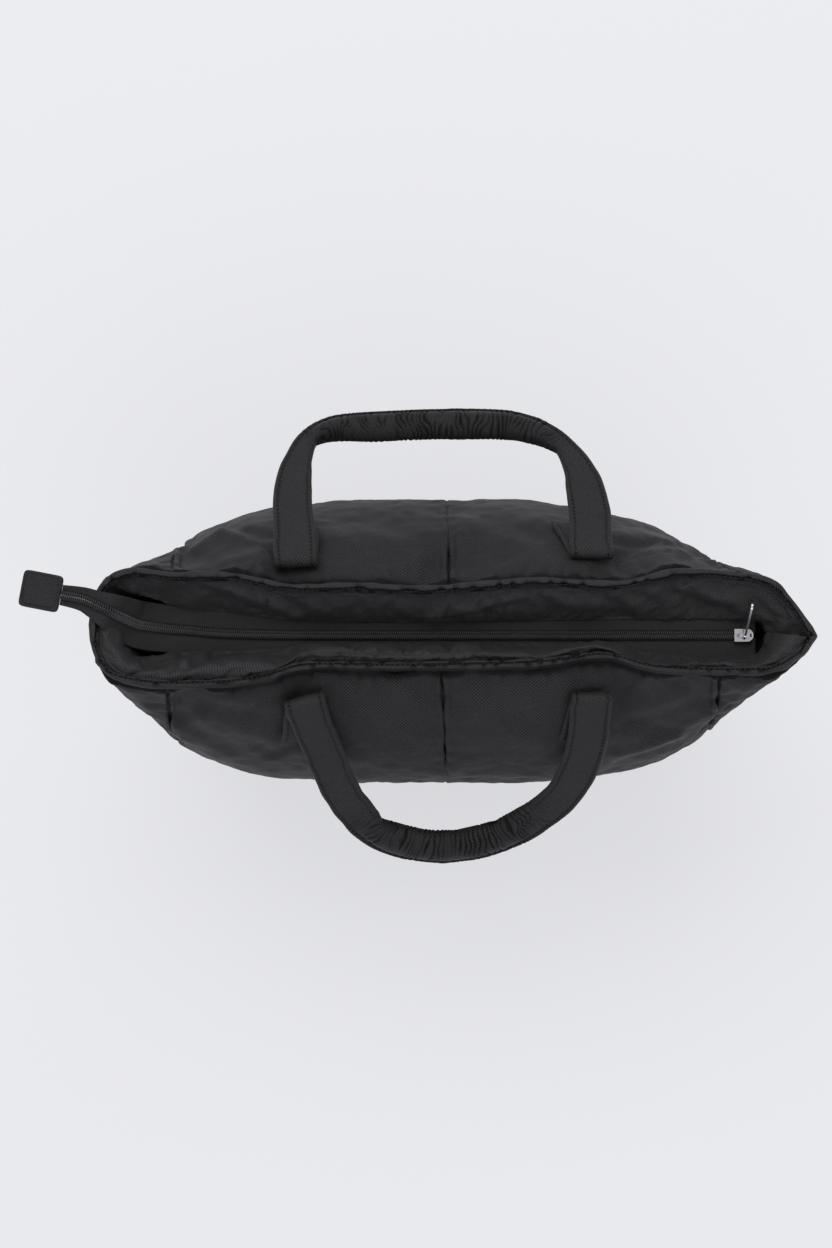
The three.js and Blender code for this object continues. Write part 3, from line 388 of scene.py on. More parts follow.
def attach(piece, node, material):
    """Puts a piece on the bag in a node's place."""
    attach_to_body(piece, "bag")
    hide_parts(node)
    dress(piece, material)


def grid_normals(grid):
    across = np.gradient(grid, axis=1)
    up = np.gradient(grid, axis=0)
    return unit(np.cross(across, up))


def resample(grid, old, new, axis):
    """The same surface with its points at other places, on a smooth curve."""
    grid = np.moveaxis(grid, axis, 0)
    padded = np.concatenate([2 * grid[:1] - grid[1:2], grid, 2 * grid[-1:] - grid[-2:-1]])
    index = np.interp(new, old, np.arange(len(old)))
    low = np.minimum(index.astype(int), len(old) - 2)
    part = (index - low).reshape(-1, *[1] * (grid.ndim - 1))
    before, start, end, after = (padded[low + step] for step in range(4))
    second = 2 * before - 5 * start + 4 * end - after
    third = 3 * start - before - 3 * end + after
    made = start + part / 2 * (end - before + part * (second + part * third))
    return np.moveaxis(made, 0, axis)


def dense(stops, length, fine, coarse, reach):
    """Places from the first stop to the last, closer together beside each stop."""
    places = []
    for low, high in zip(stops, stops[1:]):
        span = (high - low) * length
        steps = []
        while sum(steps) < span:
            there = sum(steps)
            away = min(there, span - there)
            steps.append(mix(fine, coarse, min(1.0, away / reach)))
        run = np.concatenate([[0.0], np.cumsum(steps)])
        places.append(low + run[:-1] / run[-1] * (high - low))
    return np.concatenate(places + [[stops[-1]]])


def creases(points, rows):
    """Heights of ridges from point to point of the plan, each with a hollow on its left side."""
    move = np.zeros(points.shape[:-1])
    for start, end, height, width in rows:
        run = np.array(end, dtype=float) - start
        length = math.hypot(*run)
        away = points[..., :2] - np.array(start, dtype=float)
        share = (away @ run) / length**2
        aside = (away[..., 1] * run[0] - away[..., 0] * run[1]) / length
        beyond = np.maximum(np.abs(share - 0.5) - 0.5, 0.0) * length
        ridge = hill(aside, width)
        hollow = hill(aside - 1.7 * width, width)
        move += height * hill(beyond, 1.5 * width) * (ridge - 0.7 * hollow)
    return move


def settle(grid, pinned, grow, pressure, frames, cap, gravity=0.0, bend=0.4, flip=False):
    """Cloth simulation of a grid of points with some pinned; each point moves at most cap."""
    rows, columns = grid.shape[:2]
    start = grid.reshape(-1, 3)
    cloth = mesh_object("cloth", start, grid_faces(rows, columns, flip=flip))
    group = cloth.vertex_groups.new(name="pin")
    group.add(np.flatnonzero(pinned.ravel()).tolist(), 1.0, "REPLACE")
    modifier = cloth.modifiers.new("cloth", "CLOTH")
    settings = modifier.settings
    settings.quality = 6
    settings.mass = 0.1
    settings.tension_stiffness = 20
    settings.compression_stiffness = 8
    settings.shear_stiffness = 4
    settings.bending_stiffness = bend
    settings.vertex_group_mass = "pin"
    settings.shrink_min = -grow
    settings.use_pressure = pressure != 0
    settings.uniform_pressure_force = pressure
    settings.effector_weights.gravity = gravity
    modifier.collision_settings.use_collision = False
    modifier.point_cache.frame_end = frames + 1
    for number in range(1, frames + 1):
        scene.frame_set(number)
    shown = cloth.evaluated_get(bpy.context.evaluated_depsgraph_get()).data
    settled = np.empty(len(start) * 3)
    shown.vertices.foreach_get("co", settled)
    scene.frame_set(1)
    bpy.data.objects.remove(cloth)
    move = settled.reshape(-1, 3) / MM - start
    length = np.linalg.norm(move, axis=1, keepdims=True)
    move *= np.minimum(1.0, cap / np.maximum(length, 1e-9))
    return (start + move).reshape(grid.shape)


# The bag's surfaces, as its source builds them


def mouth_line(rows):
    """A line round one side of the mouth; its height says how far it dips below the rim's level."""
    dip = rows.get("dip", np.zeros(len(rows["across"])))
    return Line(np.stack([
        rows["across"] * MOUTH_HALF_LENGTH,
        MOUTH_SHIFT + rows["back"] * MOUTH_HALF_DEPTH,
        dip * HEM_HEIGHT,
    ], axis=1))


RIM_LINE = {side: mouth_line(rows) for side, rows in RIM.items()}
SEAM_LINE = {side: mouth_line(rows) for side, rows in FACING_SEAM.items()}


def on_loop(lines, turn):
    """Points at turns from 0 at the left end along the front to 1, and on along the back to 2."""
    wrapped = np.mod(turn, 2.0)
    front = lines["front"].at(wrapped)
    back = lines["back"].at(2.0 - wrapped)
    return np.where((wrapped <= 1.0)[..., None], front, back)


def outward_of(lines, turn):
    """Level ways out of the mouth at these turns."""
    along = on_loop(lines, turn + 0.004) - on_loop(lines, turn - 0.004)
    return level_right(along)


def quarter(height, side, end):
    """A quarter of the body's outline at one height, from its middle to its end, and its lengths."""
    length = BELLY_HALF_LENGTH * look_up(LEVELS, "height", "length", height)
    depth = BELLY_HALF_DEPTH * look_up(LEVELS, "height", "depth", height)
    square = look_up(LEVELS, "height", "square", height)
    power = 2.0 / (square * CORNERS[side][end])
    reach = length * RIGHT_DRAWN_IN if end == "right" else -length
    angle = np.linspace(0.0, math.pi / 2, 161)
    x = reach * np.sin(angle) ** power
    y = BELLY_SHIFT + OUT_SIGN[side] * depth * np.clip(np.cos(angle), 0, None) ** power
    steps = np.hypot(np.diff(x), np.diff(y))
    return x, y, np.concatenate([[0.0], np.cumsum(steps)])


def section_row(side, places, height):
    """The body's outline at one height, at places from -1 at its left end to 1."""
    row = np.zeros((len(places), 3))
    for end, chosen in (("left", places <= 0), ("right", places > 0)):
        x, y, lengths = quarter(height, side, end)
        wanted = np.abs(places[chosen]) * lengths[-1]
        row[chosen, 0] = np.interp(wanted, lengths, x)
        row[chosen, 1] = np.interp(wanted, lengths, y)
    return row


def turn_of(side, places):
    """The turns round the mouth at places from -1 to 1 along one side."""
    share = (places + 1.0) / 2.0
    return share if side == "front" else 2.0 - share


def sewn_grid(side, places, heights):
    """The panel's surface without its padding, a row of points for each height."""
    turns = turn_of(side, places)
    rim = on_loop(RIM_LINE, turns)
    sag = rim[:, 2].copy()
    rim += outward_of(RIM_LINE, turns) * (HEM_THICKNESS / 2 - GAP)
    rows = []
    for height in heights:
        pull = max(0.0, (height - RIM_PULL_FROM) / (1.0 - RIM_PULL_FROM)) ** 2
        row = mix(section_row(side, places, height), rim, pull)
        row[:, 2] = height * PANEL_TOP - sag * pull
        rows.append(row)
    return np.array(rows)


def outward_normals(side, grid):
    """Normals of a side's surface, away from the inside of the bag."""
    normals = grid_normals(grid)
    return normals if side == "front" else -normals


def cell_share(seams, places):
    """The cell between seams that each place lies in, and the share of the way through it."""
    cell = np.clip(np.searchsorted(seams, places, side="left") - 1, 0, len(seams) - 2)
    return cell, (places - seams[cell]) / (seams[cell + 1] - seams[cell])


def pillow(share):
    """How full a cell is from one seam to the next."""
    return np.sqrt(np.clip(4.0 * share * (1.0 - share), 0.0, None))


def puff_grid(places, heights):
    """How far the padding stands out over a panel."""
    cell, share = cell_share(SEAMS["across"], places)
    at_seams = mix(SEAMS["fullness"][cell], SEAMS["fullness"][cell + 1], share)
    middle = np.where((cell == 0) | (cell == 3), 0.75, 1.0)
    across = mix(at_seams, middle, pillow(share))
    up = pillow(cell_share(np.array([0.0, 0.5, 1.0]), heights)[1])
    return PUFF * across[None, :] * up[:, None]


def inner_grid(side, places, heights, clearance=0.0):
    """The lining's side of the padded wall."""
    grid = sewn_grid(side, places, heights)
    along = np.gradient(grid, axis=1) * (1.0 if side == "front" else -1.0)
    thickness = mix(WALL_AT_TOP, WALL, smooth((1.0 - heights) / WALL_TAPER)) + clearance
    return grid - level_right(along) * thickness[:, None, None]


def cells(stops, counts):
    """Even places in each cell between stops."""
    rows = zip(stops, stops[1:], counts)
    places = [np.linspace(low, high, count, endpoint=False) for low, high, count in rows]
    return np.concatenate(places + [[stops[-1]]])


# Creases of a panel from point to point of the plan: height of the ridge, its width
PANEL_CREASES = {
    "front": [
        ((156, -65), (117, -80), 2.0, 3.5), ((178, -45), (188, -47), 1.2, 2.5),
        ((-165, -50), (-100, -72), 1.4, 6.0), ((-160, -38), (-110, -45), 1.2, 5.0),
        ((-60, -40), (-25, -62), 1.3, 6.0), ((20, -45), (60, -70), 1.2, 7.0),
        ((160, -35), (120, -50), 1.3, 5.0), ((-186, -62), (-150, -80), 1.6, 5.0),
    ],
    "back": [
        ((111, 60), (161, 58), 1.6, 3.0), ((-171, 61), (-153, 72), 1.8, 3.0),
        ((-153, 72), (-116, 64), 2.0, 3.5), ((-168, 46), (-120, 60), 1.3, 5.0),
        ((-60, 72), (-20, 55), 1.3, 7.0), ((10, 78), (60, 60), 1.3, 7.0),
        ((120, 72), (165, 62), 1.4, 4.0), ((-100, 84), (-60, 60), 1.2, 6.0),
    ],
}
PANEL_HALF_LENGTH = 258.0
ROW_ENDS = [0.0, 0.5, 1.0]
PLACE_COUNTS = [26, 58, 60, 24]
HEIGHT_COUNTS = [46, 52]
PLACES = cells(SEAMS["across"], PLACE_COUNTS)
HEIGHTS = cells(ROW_ENDS, HEIGHT_COUNTS)
# Painted shade along the panels' seam grooves
SEAM_SHADE = 0.7

# How far the padding fills the valley at the left, middle and right seam
SEAM_FILL = [1.0, 1.7, 1.2]

# How much painted shade darkens the lower cloth of each side
LOW_SHADE = {"front": 0.22, "back": 0.04}


def make_panel(side):
    """The outer cloth of a padded panel, with its seams, puckers and pleats."""
    sewn = sewn_grid(side, PLACES, HEIGHTS)
    outer = sewn + outward_normals(side, sewn) * puff_grid(PLACES, HEIGHTS)[..., None] * 0.52
    pinned = np.zeros(outer.shape[:2], dtype=bool)
    pinned[np.cumsum([0, *HEIGHT_COUNTS]), :] = True
    pinned[:, np.cumsum([0, *PLACE_COUNTS])] = True
    settled = settle(outer, pinned, grow=0.03, pressure=2.0, frames=22, cap=3.6, flip=side == "back")
    places = dense(SEAMS["across"], PANEL_HALF_LENGTH, 0.55, 2.1, 9.0)
    heights = dense(ROW_ENDS, PANEL_TOP, 0.7, 2.2, 10.0)
    grid = resample(resample(settled, PLACES, places, 1), HEIGHTS, heights, 0)
    normals = outward_normals(side, grid)
    along = places[None, :] * PANEL_HALF_LENGTH
    up = heights[:, None] * PANEL_TOP
    seed = 11 if side == "front" else 23
    move = np.zeros(grid.shape[:2])
    # Painted shade, darker towards the bottom of the panel
    shade = LOW_SHADE[side] * smooth((0.85 - heights) / 0.3)[:, None]
    for number, seam in enumerate(SEAMS["across"][1:-1]):
        away = along - seam * PANEL_HALF_LENGTH
        pucker = noise(up / 5.5, np.sign(away) * 3 + 40 + number * 9, seed) * np.exp(-np.abs(away) / 9.0)
        move += 0.9 * pucker - 1.7 * hill(away, 0.9) + SEAM_FILL[number] * hill(away, 6.0)
        # Painted shade in the seam groove
        shade = np.maximum(shade, SEAM_SHADE * hill(away, 1.4))
    away = up - ROW_ENDS[1] * PANEL_TOP
    pucker = noise(along / 7.0, np.sign(away) * 3 + 90, seed) * np.exp(-np.abs(away) / 12.0)
    move += 1.2 * pucker - 1.8 * hill(away, 1.1) + 1.6 * hill(away, 7.0)
    shade = np.maximum(shade, SEAM_SHADE * hill(away, 1.4))
    below_hem = PANEL_TOP - up
    # Painted shade of the hem on the cloth just below it, its width varying along the rim
    crumple = 0.5 + 0.5 * noise(along / 2.6, 150.0, seed)
    shade = np.maximum(shade, 0.95 * hill(below_hem, 2.6 + 2.0 * crumple))
    pucker = noise(along / 4.2, 140.0 + below_hem / 40.0, seed) * np.exp(-below_hem / 11.0)
    pleat = noise(along / 13.0, 160.0 + below_hem / 70.0, seed) * np.exp(-below_hem / 26.0)
    move += (1.3 * pucker + 1.5 * pleat) * smooth(below_hem / 2.0)
    move += 1.2 * noise(along / 31.0, up / 19.0, seed + 1) + 0.55 * noise(along / 9.0, up / 7.0, seed + 2)
    move += 0.16 * noise(along / 3.0, up / 3.4, seed + 3)
    move += creases(grid, PANEL_CREASES[side])
    border = smooth(below_hem / 4.0) * smooth(up / 6.0) * smooth((1 - np.abs(places))[None, :] * 60.0)
    grid = grid + normals * (move * border)[..., None]
    edge = inner_grid(side, places, heights)
    sides = np.concatenate([edge[:1], edge, edge[-1:]])
    wrapped = np.concatenate([edge[:1], grid, edge[-1:]])
    wrapped = np.concatenate([sides[:, :1], wrapped, sides[:, -1:]], axis=1)
    shade = np.pad(shade, 1, mode="edge")
    shell = grid_object(f"{side}_shell", wrapped, flip=side == "back", shade=shade)
    lining = grid_object(
        f"{side}_lining", inner_grid(side, PLACES[::3], HEIGHTS[::2], -GAP), flip=side == "front"
    )
    attach(shell, f"{side}_panel", SHELL)
    attach(lining, f"{side}_panel", FACING)


# Materials


class Shader:
    """A node tree that is built line by line."""

    def __init__(self, name):
        self.material = bpy.data.materials.new(name)
        self.material.use_nodes = True
        self.tree = self.material.node_tree
        self.shader = self.tree.nodes["Principled BSDF"]

    def set(self, **values):
        for name, value in values.items():
            self.shader.inputs[name.replace("_", " ")].default_value = value
        return self

    def node(self, kind, inputs=None, **settings):
        made = self.tree.nodes.new(kind)
        for name, value in settings.items():
            setattr(made, name, value)
        for name, value in (inputs or {}).items():
            if isinstance(value, bpy.types.NodeSocket):
                self.tree.links.new(value, made.inputs[name])
            else:
                made.inputs[name].default_value = value
        return made

    def math(self, operation, *values):
        return self.node("ShaderNodeMath", dict(enumerate(values)), operation=operation).outputs[0]

    def join(self, output, name):
        self.tree.links.new(output, self.shader.inputs[name])

    def noise(self, vector, scale, detail=3.0, roughness=0.55):
        made = self.node("ShaderNodeTexNoise", {
            "Vector": vector, "Scale": scale, "Detail": detail, "Roughness": roughness,
        })
        return made.outputs["Fac"]

    def ramp(self, value, stops):
        made = self.node("ShaderNodeValToRGB", {"Fac": value})
        elements = made.color_ramp.elements
        while len(elements) < len(stops):
            elements.new(0.5)
        for element, (position, color) in zip(elements, stops):
            element.position = position
            element.color = (*color, 1.0)
        return made.outputs["Color"]

    def bump(self, height, distance, strength=1.0, normal=None):
        inputs = {"Height": height, "Distance": distance, "Strength": strength}
        if normal is not None:
            inputs["Normal"] = normal
        return self.node("ShaderNodeBump", inputs).outputs["Normal"]


def nylon(name, dark, light, pitch=2.3, crinkle=1.0, rough=0.58):
    """Fine diagonal nylon weave with a faint sheen and small crinkles."""
    cloth = Shader(name)
    uv = cloth.node("ShaderNodeUVMap", uv_map="cloth").outputs["UV"]
    place = cloth.node("ShaderNodeTexCoord").outputs["Object"]
    split = cloth.node("ShaderNodeSeparateXYZ", {"Vector": uv})
    waves = []
    turns = 2.0 * math.pi / (pitch * MM)
    for operation in ("ADD", "SUBTRACT"):
        slanted = cloth.math(operation, split.outputs[0], split.outputs[1])
        waves.append(cloth.math("SINE", cloth.math("MULTIPLY", slanted, turns)))
    twill = cloth.math("MULTIPLY_ADD", waves[1], 0.2, cloth.math("MULTIPLY", waves[0], 0.3))
    weave = cloth.math("ADD", twill, 0.5)
    fine = cloth.noise(place, 900.0, 2.0)
    soft = cloth.noise(place, 60.0, 4.0)
    broad = cloth.noise(place, 9.0, 2.0)
    tone = cloth.math("MULTIPLY_ADD", weave, 0.95, cloth.math("MULTIPLY", fine, 0.9))
    tone = cloth.math("MULTIPLY_ADD", broad, 0.3, tone)
    # Painted shade: the mesh's shade attribute darkens the weave's tone
    shade = cloth.node("ShaderNodeAttribute", attribute_name="shade").outputs["Fac"]
    tone = cloth.math("MULTIPLY", tone, cloth.math("MULTIPLY_ADD", shade, -0.8, 0.8))
    cloth.join(cloth.ramp(tone, [(0.45, dark), (1.0, light)]), "Base Color")
    roughness = cloth.math("MULTIPLY_ADD", soft, 0.2, rough - 0.1)
    cloth.join(roughness, "Roughness")
    first = cloth.bump(weave, 0.00026, 0.8)
    second = cloth.bump(soft, 0.0018 * crinkle, 0.7, first)
    cloth.join(second, "Normal")
    cloth.set(Sheen_Weight=0.03, Sheen_Roughness=0.45, Specular_IOR_Level=0.17)
    cloth.shader.inputs["Sheen Tint"].default_value = (0.75, 0.77, 0.82, 1.0)
    return cloth.material


SHELL = nylon("shell_nylon", (0.002, 0.002, 0.0024), (0.035, 0.035, 0.036))
# The facing nylon is the shell's cloth made lighter, as painted light on the facings
FACING = nylon("facing_nylon", (0.004, 0.004, 0.0044), (0.046, 0.046, 0.047), pitch=1.8)
STRAP = nylon("strap_nylon", (0.003, 0.003, 0.0034), (0.036, 0.036, 0.037), pitch=1.8)
HEM = nylon("hem_nylon", (0.003, 0.003, 0.0034), (0.042, 0.042, 0.043), pitch=1.8)
THREAD = Shader("thread").set(Base_Color=(0.012, 0.012, 0.0125, 1), Roughness=0.5).material
METAL = Shader("steel").set(Base_Color=(0.68, 0.68, 0.69, 1), Roughness=0.27, Metallic=1.0).material
# The coil's grey, lighter than the black cloth, is painted light on its turns; the cord's near black is
# painted shade between them
COIL = Shader("zip_coil").set(Base_Color=(0.085, 0.085, 0.087, 1), Roughness=0.35).material
CORD = Shader("zip_cord").set(Base_Color=(0.002, 0.002, 0.002, 1), Specular_IOR_Level=0.1).material


for side in ("front", "back"):
    make_panel(side)
dress(bpy.data.objects["base_panel"], SHELL)


# Threads and stitches


def capsules(name, points, ups, length, step, radius, material):
    """Short rounded stitches that lie along a line of points, a little sunk in the cloth."""
    lengths = running_lengths(points)
    starts = np.arange(step / 2, lengths[-1] - length, step)
    parts = np.linspace(0.0, 1.0, 5)
    angles = ring(6)
    rings = []
    for part in parts:
        places = starts + part * length
        middle = between(places, lengths, points)
        up = unit(between(places, lengths, ups))
        ahead = between(places + 0.2, lengths, points)
        side = unit(np.cross(unit(ahead - middle + 1e-6), up))
        bulge = math.sin(math.pi * mix(0.12, 0.88, part))
        centre = middle + up * radius * (1.4 * bulge - 0.9)
        for angle in angles:
            turn = side * math.cos(angle) + up * math.sin(angle)
            rings.append(centre + turn * radius * bulge**0.6)
    made = np.stack(rings, axis=1)
    faces = []
    for number in range(len(made)):
        start = number * made.shape[1]
        faces += grid_faces(len(parts), len(angles), wrap=True, start=start, flip=True)
        faces.append([start + corner for corner in range(len(angles))])
        faces.append([start + made.shape[1] - 1 - corner for corner in range(len(angles))])
    stitches = mesh_object(name, made.reshape(-1, 3), faces)
    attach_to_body(stitches, "bag")
    dress(stitches, material)


# Hem round the mouth

HEM_STEPS = 1150
HEM_SIDES = 56
HEM_SIDE_WIDTH = 0.33
HEM_LEAN = 2.4
TURNS = np.linspace(0.0, 2.0, HEM_STEPS, endpoint=False)
RIM_MIDDLE = on_loop(RIM_LINE, TURNS)
RIM_OUT = outward_of(RIM_LINE, TURNS)
RIM_HALF_LENGTH = 490.0
RIM_ALONG = TURNS * RIM_HALF_LENGTH


def make_hem():
    """The turned edge: a soft roll, leaning to the back, with its sunk stitch line and puckers."""
    wide = powered(np.cos(ring(HEM_SIDES)), 0.85)
    tall = powered(np.sin(ring(HEM_SIDES)), 0.7)
    half = HEM_THICKNESS / 2
    pucker, other, ripple, swell = (
        noise(RIM_ALONG / size, row, seed, int(2 * RIM_HALF_LENGTH / size))
        for size, row, seed in ((4.0, 3.0, 51), (4.0, 15.0, 54), (8.0, 9.0, 53), (20.0, 5.0, 52))
    )
    in_front = smooth(TURNS / 0.03) * smooth((1.0 - TURNS) / 0.03)
    seam = mix(-0.7, -0.08, in_front)
    lean = np.array([0.0, HEM_LEAN, 0.0])
    base = HEIGHT - HEM_HEIGHT - RIM_MIDDLE[:, 2]
    rings = []
    shades = []
    for out, up in zip(wide, tall):
        top = max(up, 0.0)
        away = (out - seam) * half
        groove = hill(away, 0.5) * smooth(top / 0.3)
        near = np.exp(-np.abs(away) / 1.6)
        wrinkle = np.where(away > 0, pucker, other)
        height = HEM_HEIGHT * (0.5 + 0.5 * up)
        share = half * out * (1.0 + 0.12 * swell) + out * (0.9 * wrinkle * near + 0.6 * ripple)
        point = RIM_MIDDLE + RIM_OUT * share[:, None] + lean * (height / HEM_HEIGHT - 0.5)
        point[:, 2] = base + height - 1.3 * groove
        point[:, 2] += (0.6 * swell + 1.2 * wrinkle * near + 0.5 * ripple) * top
        rings.append(point)
        # Painted shade on the hem: in its stitch groove, in the valleys of its puckers and down its outer
        # flank
        valleys = 0.8 * np.clip(-wrinkle * near * 2.0, 0.0, 1.0)
        flank_shade = 0.75 * smooth((out - 0.72) / 0.22)
        shades.append(np.maximum(np.maximum(0.9 * groove, valleys), flank_shade))
    grid = np.stack(rings, axis=1)
    shade = np.stack(shades, axis=1)
    uvs = plane(np.arange(HEM_SIDES) * HEM_SIDE_WIDTH, RIM_ALONG)
    hem = mesh_object("hem", grid.reshape(-1, 3), grid_faces_closed(*grid.shape[:2]), uvs, shade)
    attach(hem, "rim_hem", HEM)
    tilt = np.clip(1.0 - np.abs(seam) ** 2.2, 0.0, 1.0) ** 0.5
    line = RIM_MIDDLE + RIM_OUT * (seam * half)[:, None] + lean * (tilt / 2)[:, None]
    line[:, 2] = base + HEM_HEIGHT * (0.5 + 0.5 * tilt) - 0.9
    ups = unit(RIM_OUT * (seam * 0.6)[:, None] + np.array([0.0, 0.0, 1.0]))
    capsules("hem_stitches", line, ups, 2.4, 3.4, 0.32, THREAD)


def grid_faces_closed(rows, columns):
    """Quads over a grid that closes on itself both ways."""
    row, column = np.meshgrid(np.arange(rows), np.arange(columns), indexing="ij")
    right = (column + 1) % columns
    above = (row + 1) % rows
    quads = np.stack([
        row * columns + column, above * columns + column,
        above * columns + right, row * columns + right,
    ], axis=-1)
    return quads.reshape(-1, 4).tolist()


make_hem()


# Zip: its line, tapes and coil


def zip_row(across):
    """Points of the zip's middle line."""
    y = MOUTH_SHIFT + look_up(ZIP, "across", "back", across) * MOUTH_HALF_DEPTH
    z = HEIGHT - look_up(ZIP, "across", "drop", across) * ZIP_DROP
    return np.stack([across * MOUTH_HALF_LENGTH, y, z], axis=-1)


def zip_frame(across):
    """Points of the zip, the ways along it, across it to the back and up, and the tape's half width."""
    across = np.asarray(across, dtype=float)
    before = zip_row(np.maximum(ZIP_START, across - 0.004))
    along = unit(zip_row(np.minimum(ZIP_END, across + 0.004)) - before)
    back = -level_right(along)
    half = TAPE_HALF_WIDTH * look_up(ZIP, "across", "width", across)
    return zip_row(across), along, back, np.cross(along, back), half


ZIP_PASSES = 5


def zip_place_of(points):
    """The place across at which the zip is nearest to each point, found in a few passes."""
    across = points[..., 0] / MOUTH_HALF_LENGTH
    for number in range(ZIP_PASSES):
        middle, along, back, up, half = zip_frame(across)
        aside = (points[..., 1] - middle[..., 1]) / back[..., 1]
        across = (points[..., 0] - back[..., 0] * aside) / MOUTH_HALF_LENGTH
    return across


CORE_HALF_WIDTH = 1.3
CHAIN_GAP = 0.45
CHAIN_THICKNESS = 2.6
CHAIN_BOTTOM = TAPE_THICKNESS / 2 + CHAIN_GAP
TEETH_PITCH = 1.4
WIRE = 0.28
STEPS_PER_TURN = 10


def along_zip(start, end, step):
    """Places along the zip at even lengths."""
    fine = np.linspace(start, end, 4000)
    lengths = running_lengths(zip_row(fine))
    return np.interp(np.arange(0.0, lengths[-1], step), lengths, fine), lengths[-1]


def make_tape(side):
    """Half of the zip's tape, a little wavy at its outer edge."""
    places, length = along_zip(ZIP_START, ZIP_END, 1.0)
    middle, along, back, up, half = zip_frame(places)
    sign = OUT_SIGN[side]
    inner = np.where(places >= SLIDER_ACROSS + 0.004, CORE_HALF_WIDTH + GAP, GAP / 2)
    shares = np.linspace(0.0, 1.0, 15)
    lengths = np.arange(len(places)) * 1.0
    rings = []
    for face in (1.0, -1.0):
        for share in (shares if face > 0 else shares[::-1]):
            out = mix(inner, half, share)
            wave = 0.5 * noise(lengths / 17.0, 7.0 + sign, 61) * share
            rise = face * TAPE_THICKNESS / 2 + wave * share
            rings.append(middle + back * (out * sign)[:, None] + up * rise[:, None])
    uvs = plane(np.concatenate([shares, shares[::-1]]) * TAPE_HALF_WIDTH, lengths)
    tape = loft_object(f"tape_{side}", np.stack(rings, axis=1), uvs, flip=sign > 0)
    attach(tape, f"zip_tape_{side}", TAPE)


def make_coil():
    """Two coils of wire whose turns lie between each other's, each round a thin cord."""
    for side in ("front", "back"):
        sign = OUT_SIGN[side]
        shift = 0.5 if sign > 0 else 0.0
        fine, length = along_zip(ZIP_START, SLIDER_ACROSS, 1.0)
        turns = int(length / TEETH_PITCH) - 1
        angle = np.arange(turns * STEPS_PER_TURN) * 2 * math.pi / STEPS_PER_TURN
        run = (angle / (2 * math.pi) + shift) * TEETH_PITCH
        places = np.interp(run, np.arange(len(fine)) * 1.0, fine)
        middle, along, back, up, half = zip_frame(places)
        low = CHAIN_BOTTOM + WIRE
        high = CHAIN_BOTTOM + CHAIN_THICKNESS - WIRE
        out = sign * (1.25 + 1.6 * powered(np.cos(angle), 0.7))
        rise = mix(low, high, 0.5 + 0.5 * powered(np.sin(angle), 0.8))
        centre = middle + back * out[:, None] + up * rise[:, None]
        tangent = unit(np.gradient(centre, axis=0))
        side_way = unit(np.cross(tangent, along))
        other = np.cross(tangent, side_way)
        rings = []
        for turn in ring(6):
            rings.append(centre + (side_way * math.cos(turn) + other * 0.85 * math.sin(turn)) * WIRE)
        coil = loft_object(f"coil_{side}", np.stack(rings, axis=1))
        middle, along, back, up, half = zip_frame(fine)
        rings = []
        for turn in ring(8):
            aside = sign * (1.5 + 1.15 * math.cos(turn))
            height = CHAIN_BOTTOM + CHAIN_THICKNESS / 2 + 0.55 * math.sin(turn)
            rings.append(middle + back * aside + up * height)
        cord = loft_object(f"coil_cord_{side}", np.stack(rings, axis=1))
        attach(coil, "zip_chain", COIL)
        attach(cord, "zip_chain", CORD)
        line = middle + back * (sign * 3.5) + up * (TAPE_THICKNESS / 2 + 0.25)
        capsules(f"coil_stitches_{side}", line, up, 2.0, 2.54, 0.3, THREAD)


TAPE = nylon("zip_tape", (0.004, 0.004, 0.0044), (0.034, 0.034, 0.035), pitch=1.5, crinkle=0.3)
make_coil()
for side in ("front", "back"):
    make_tape(side)


# Facings, cloth bands from under the hem down to the tape


def seam_points(turns):
    """Where a facing ends: on the tape, or level beside it where the tape has left the bag."""
    seam = on_loop(SEAM_LINE, turns)
    on_tape = zip_row(zip_place_of(seam))[..., 2] + TAPE_THICKNESS / 2 + 0.6
    free = smooth((TAPE_LEAVES - seam[..., 0] / MOUTH_HALF_LENGTH) / TAPE_LEAVING)
    seam[..., 2] = mix(on_tape, HEIGHT - ZIP_DROP, free)
    return seam


FACING_PLACES = cells([-1.0, 1.0], [300])
FACING_SHARES = np.linspace(0.0, 1.0, 21)

# How high a facing rolls up beside the hem
CREST = {"front": 7.6, "back": 0.0}


def facing_grid(side):
    """The facing's surface from the hem down to its seam, before it gives."""
    turns = turn_of(side, FACING_PLACES)
    top = on_loop(RIM_LINE, turns)
    sag = top[:, 2].copy()
    top -= outward_of(RIM_LINE, turns) * (HEM_THICKNESS / 2 - 0.75 - GAP)
    top[:, 2] = PANEL_TOP - sag + 1.0
    seam = seam_points(turns)
    out = level_right(seam_points(turns + 0.004) - seam_points(turns - 0.004))
    rows = []
    crest = CREST[side]
    for share in FACING_SHARES:
        row = mix(top, seam, share) - out * FACING_BULGE * math.sin(math.pi * share)
        level = row.copy()
        level[:, :2] = mix(top, seam, share + 0.24 * math.sin(math.pi * share))[:, :2]
        level[:, 2] = mix(top[:, 2], seam[:, 2], share**1.7)
        level[:, 2] += crest * math.sin(math.pi * min(1.0, share / 0.66)) ** 0.8
        rows.append(mix(row, level, 1.0 if crest > 0 else 0.0))
    return np.array(rows)


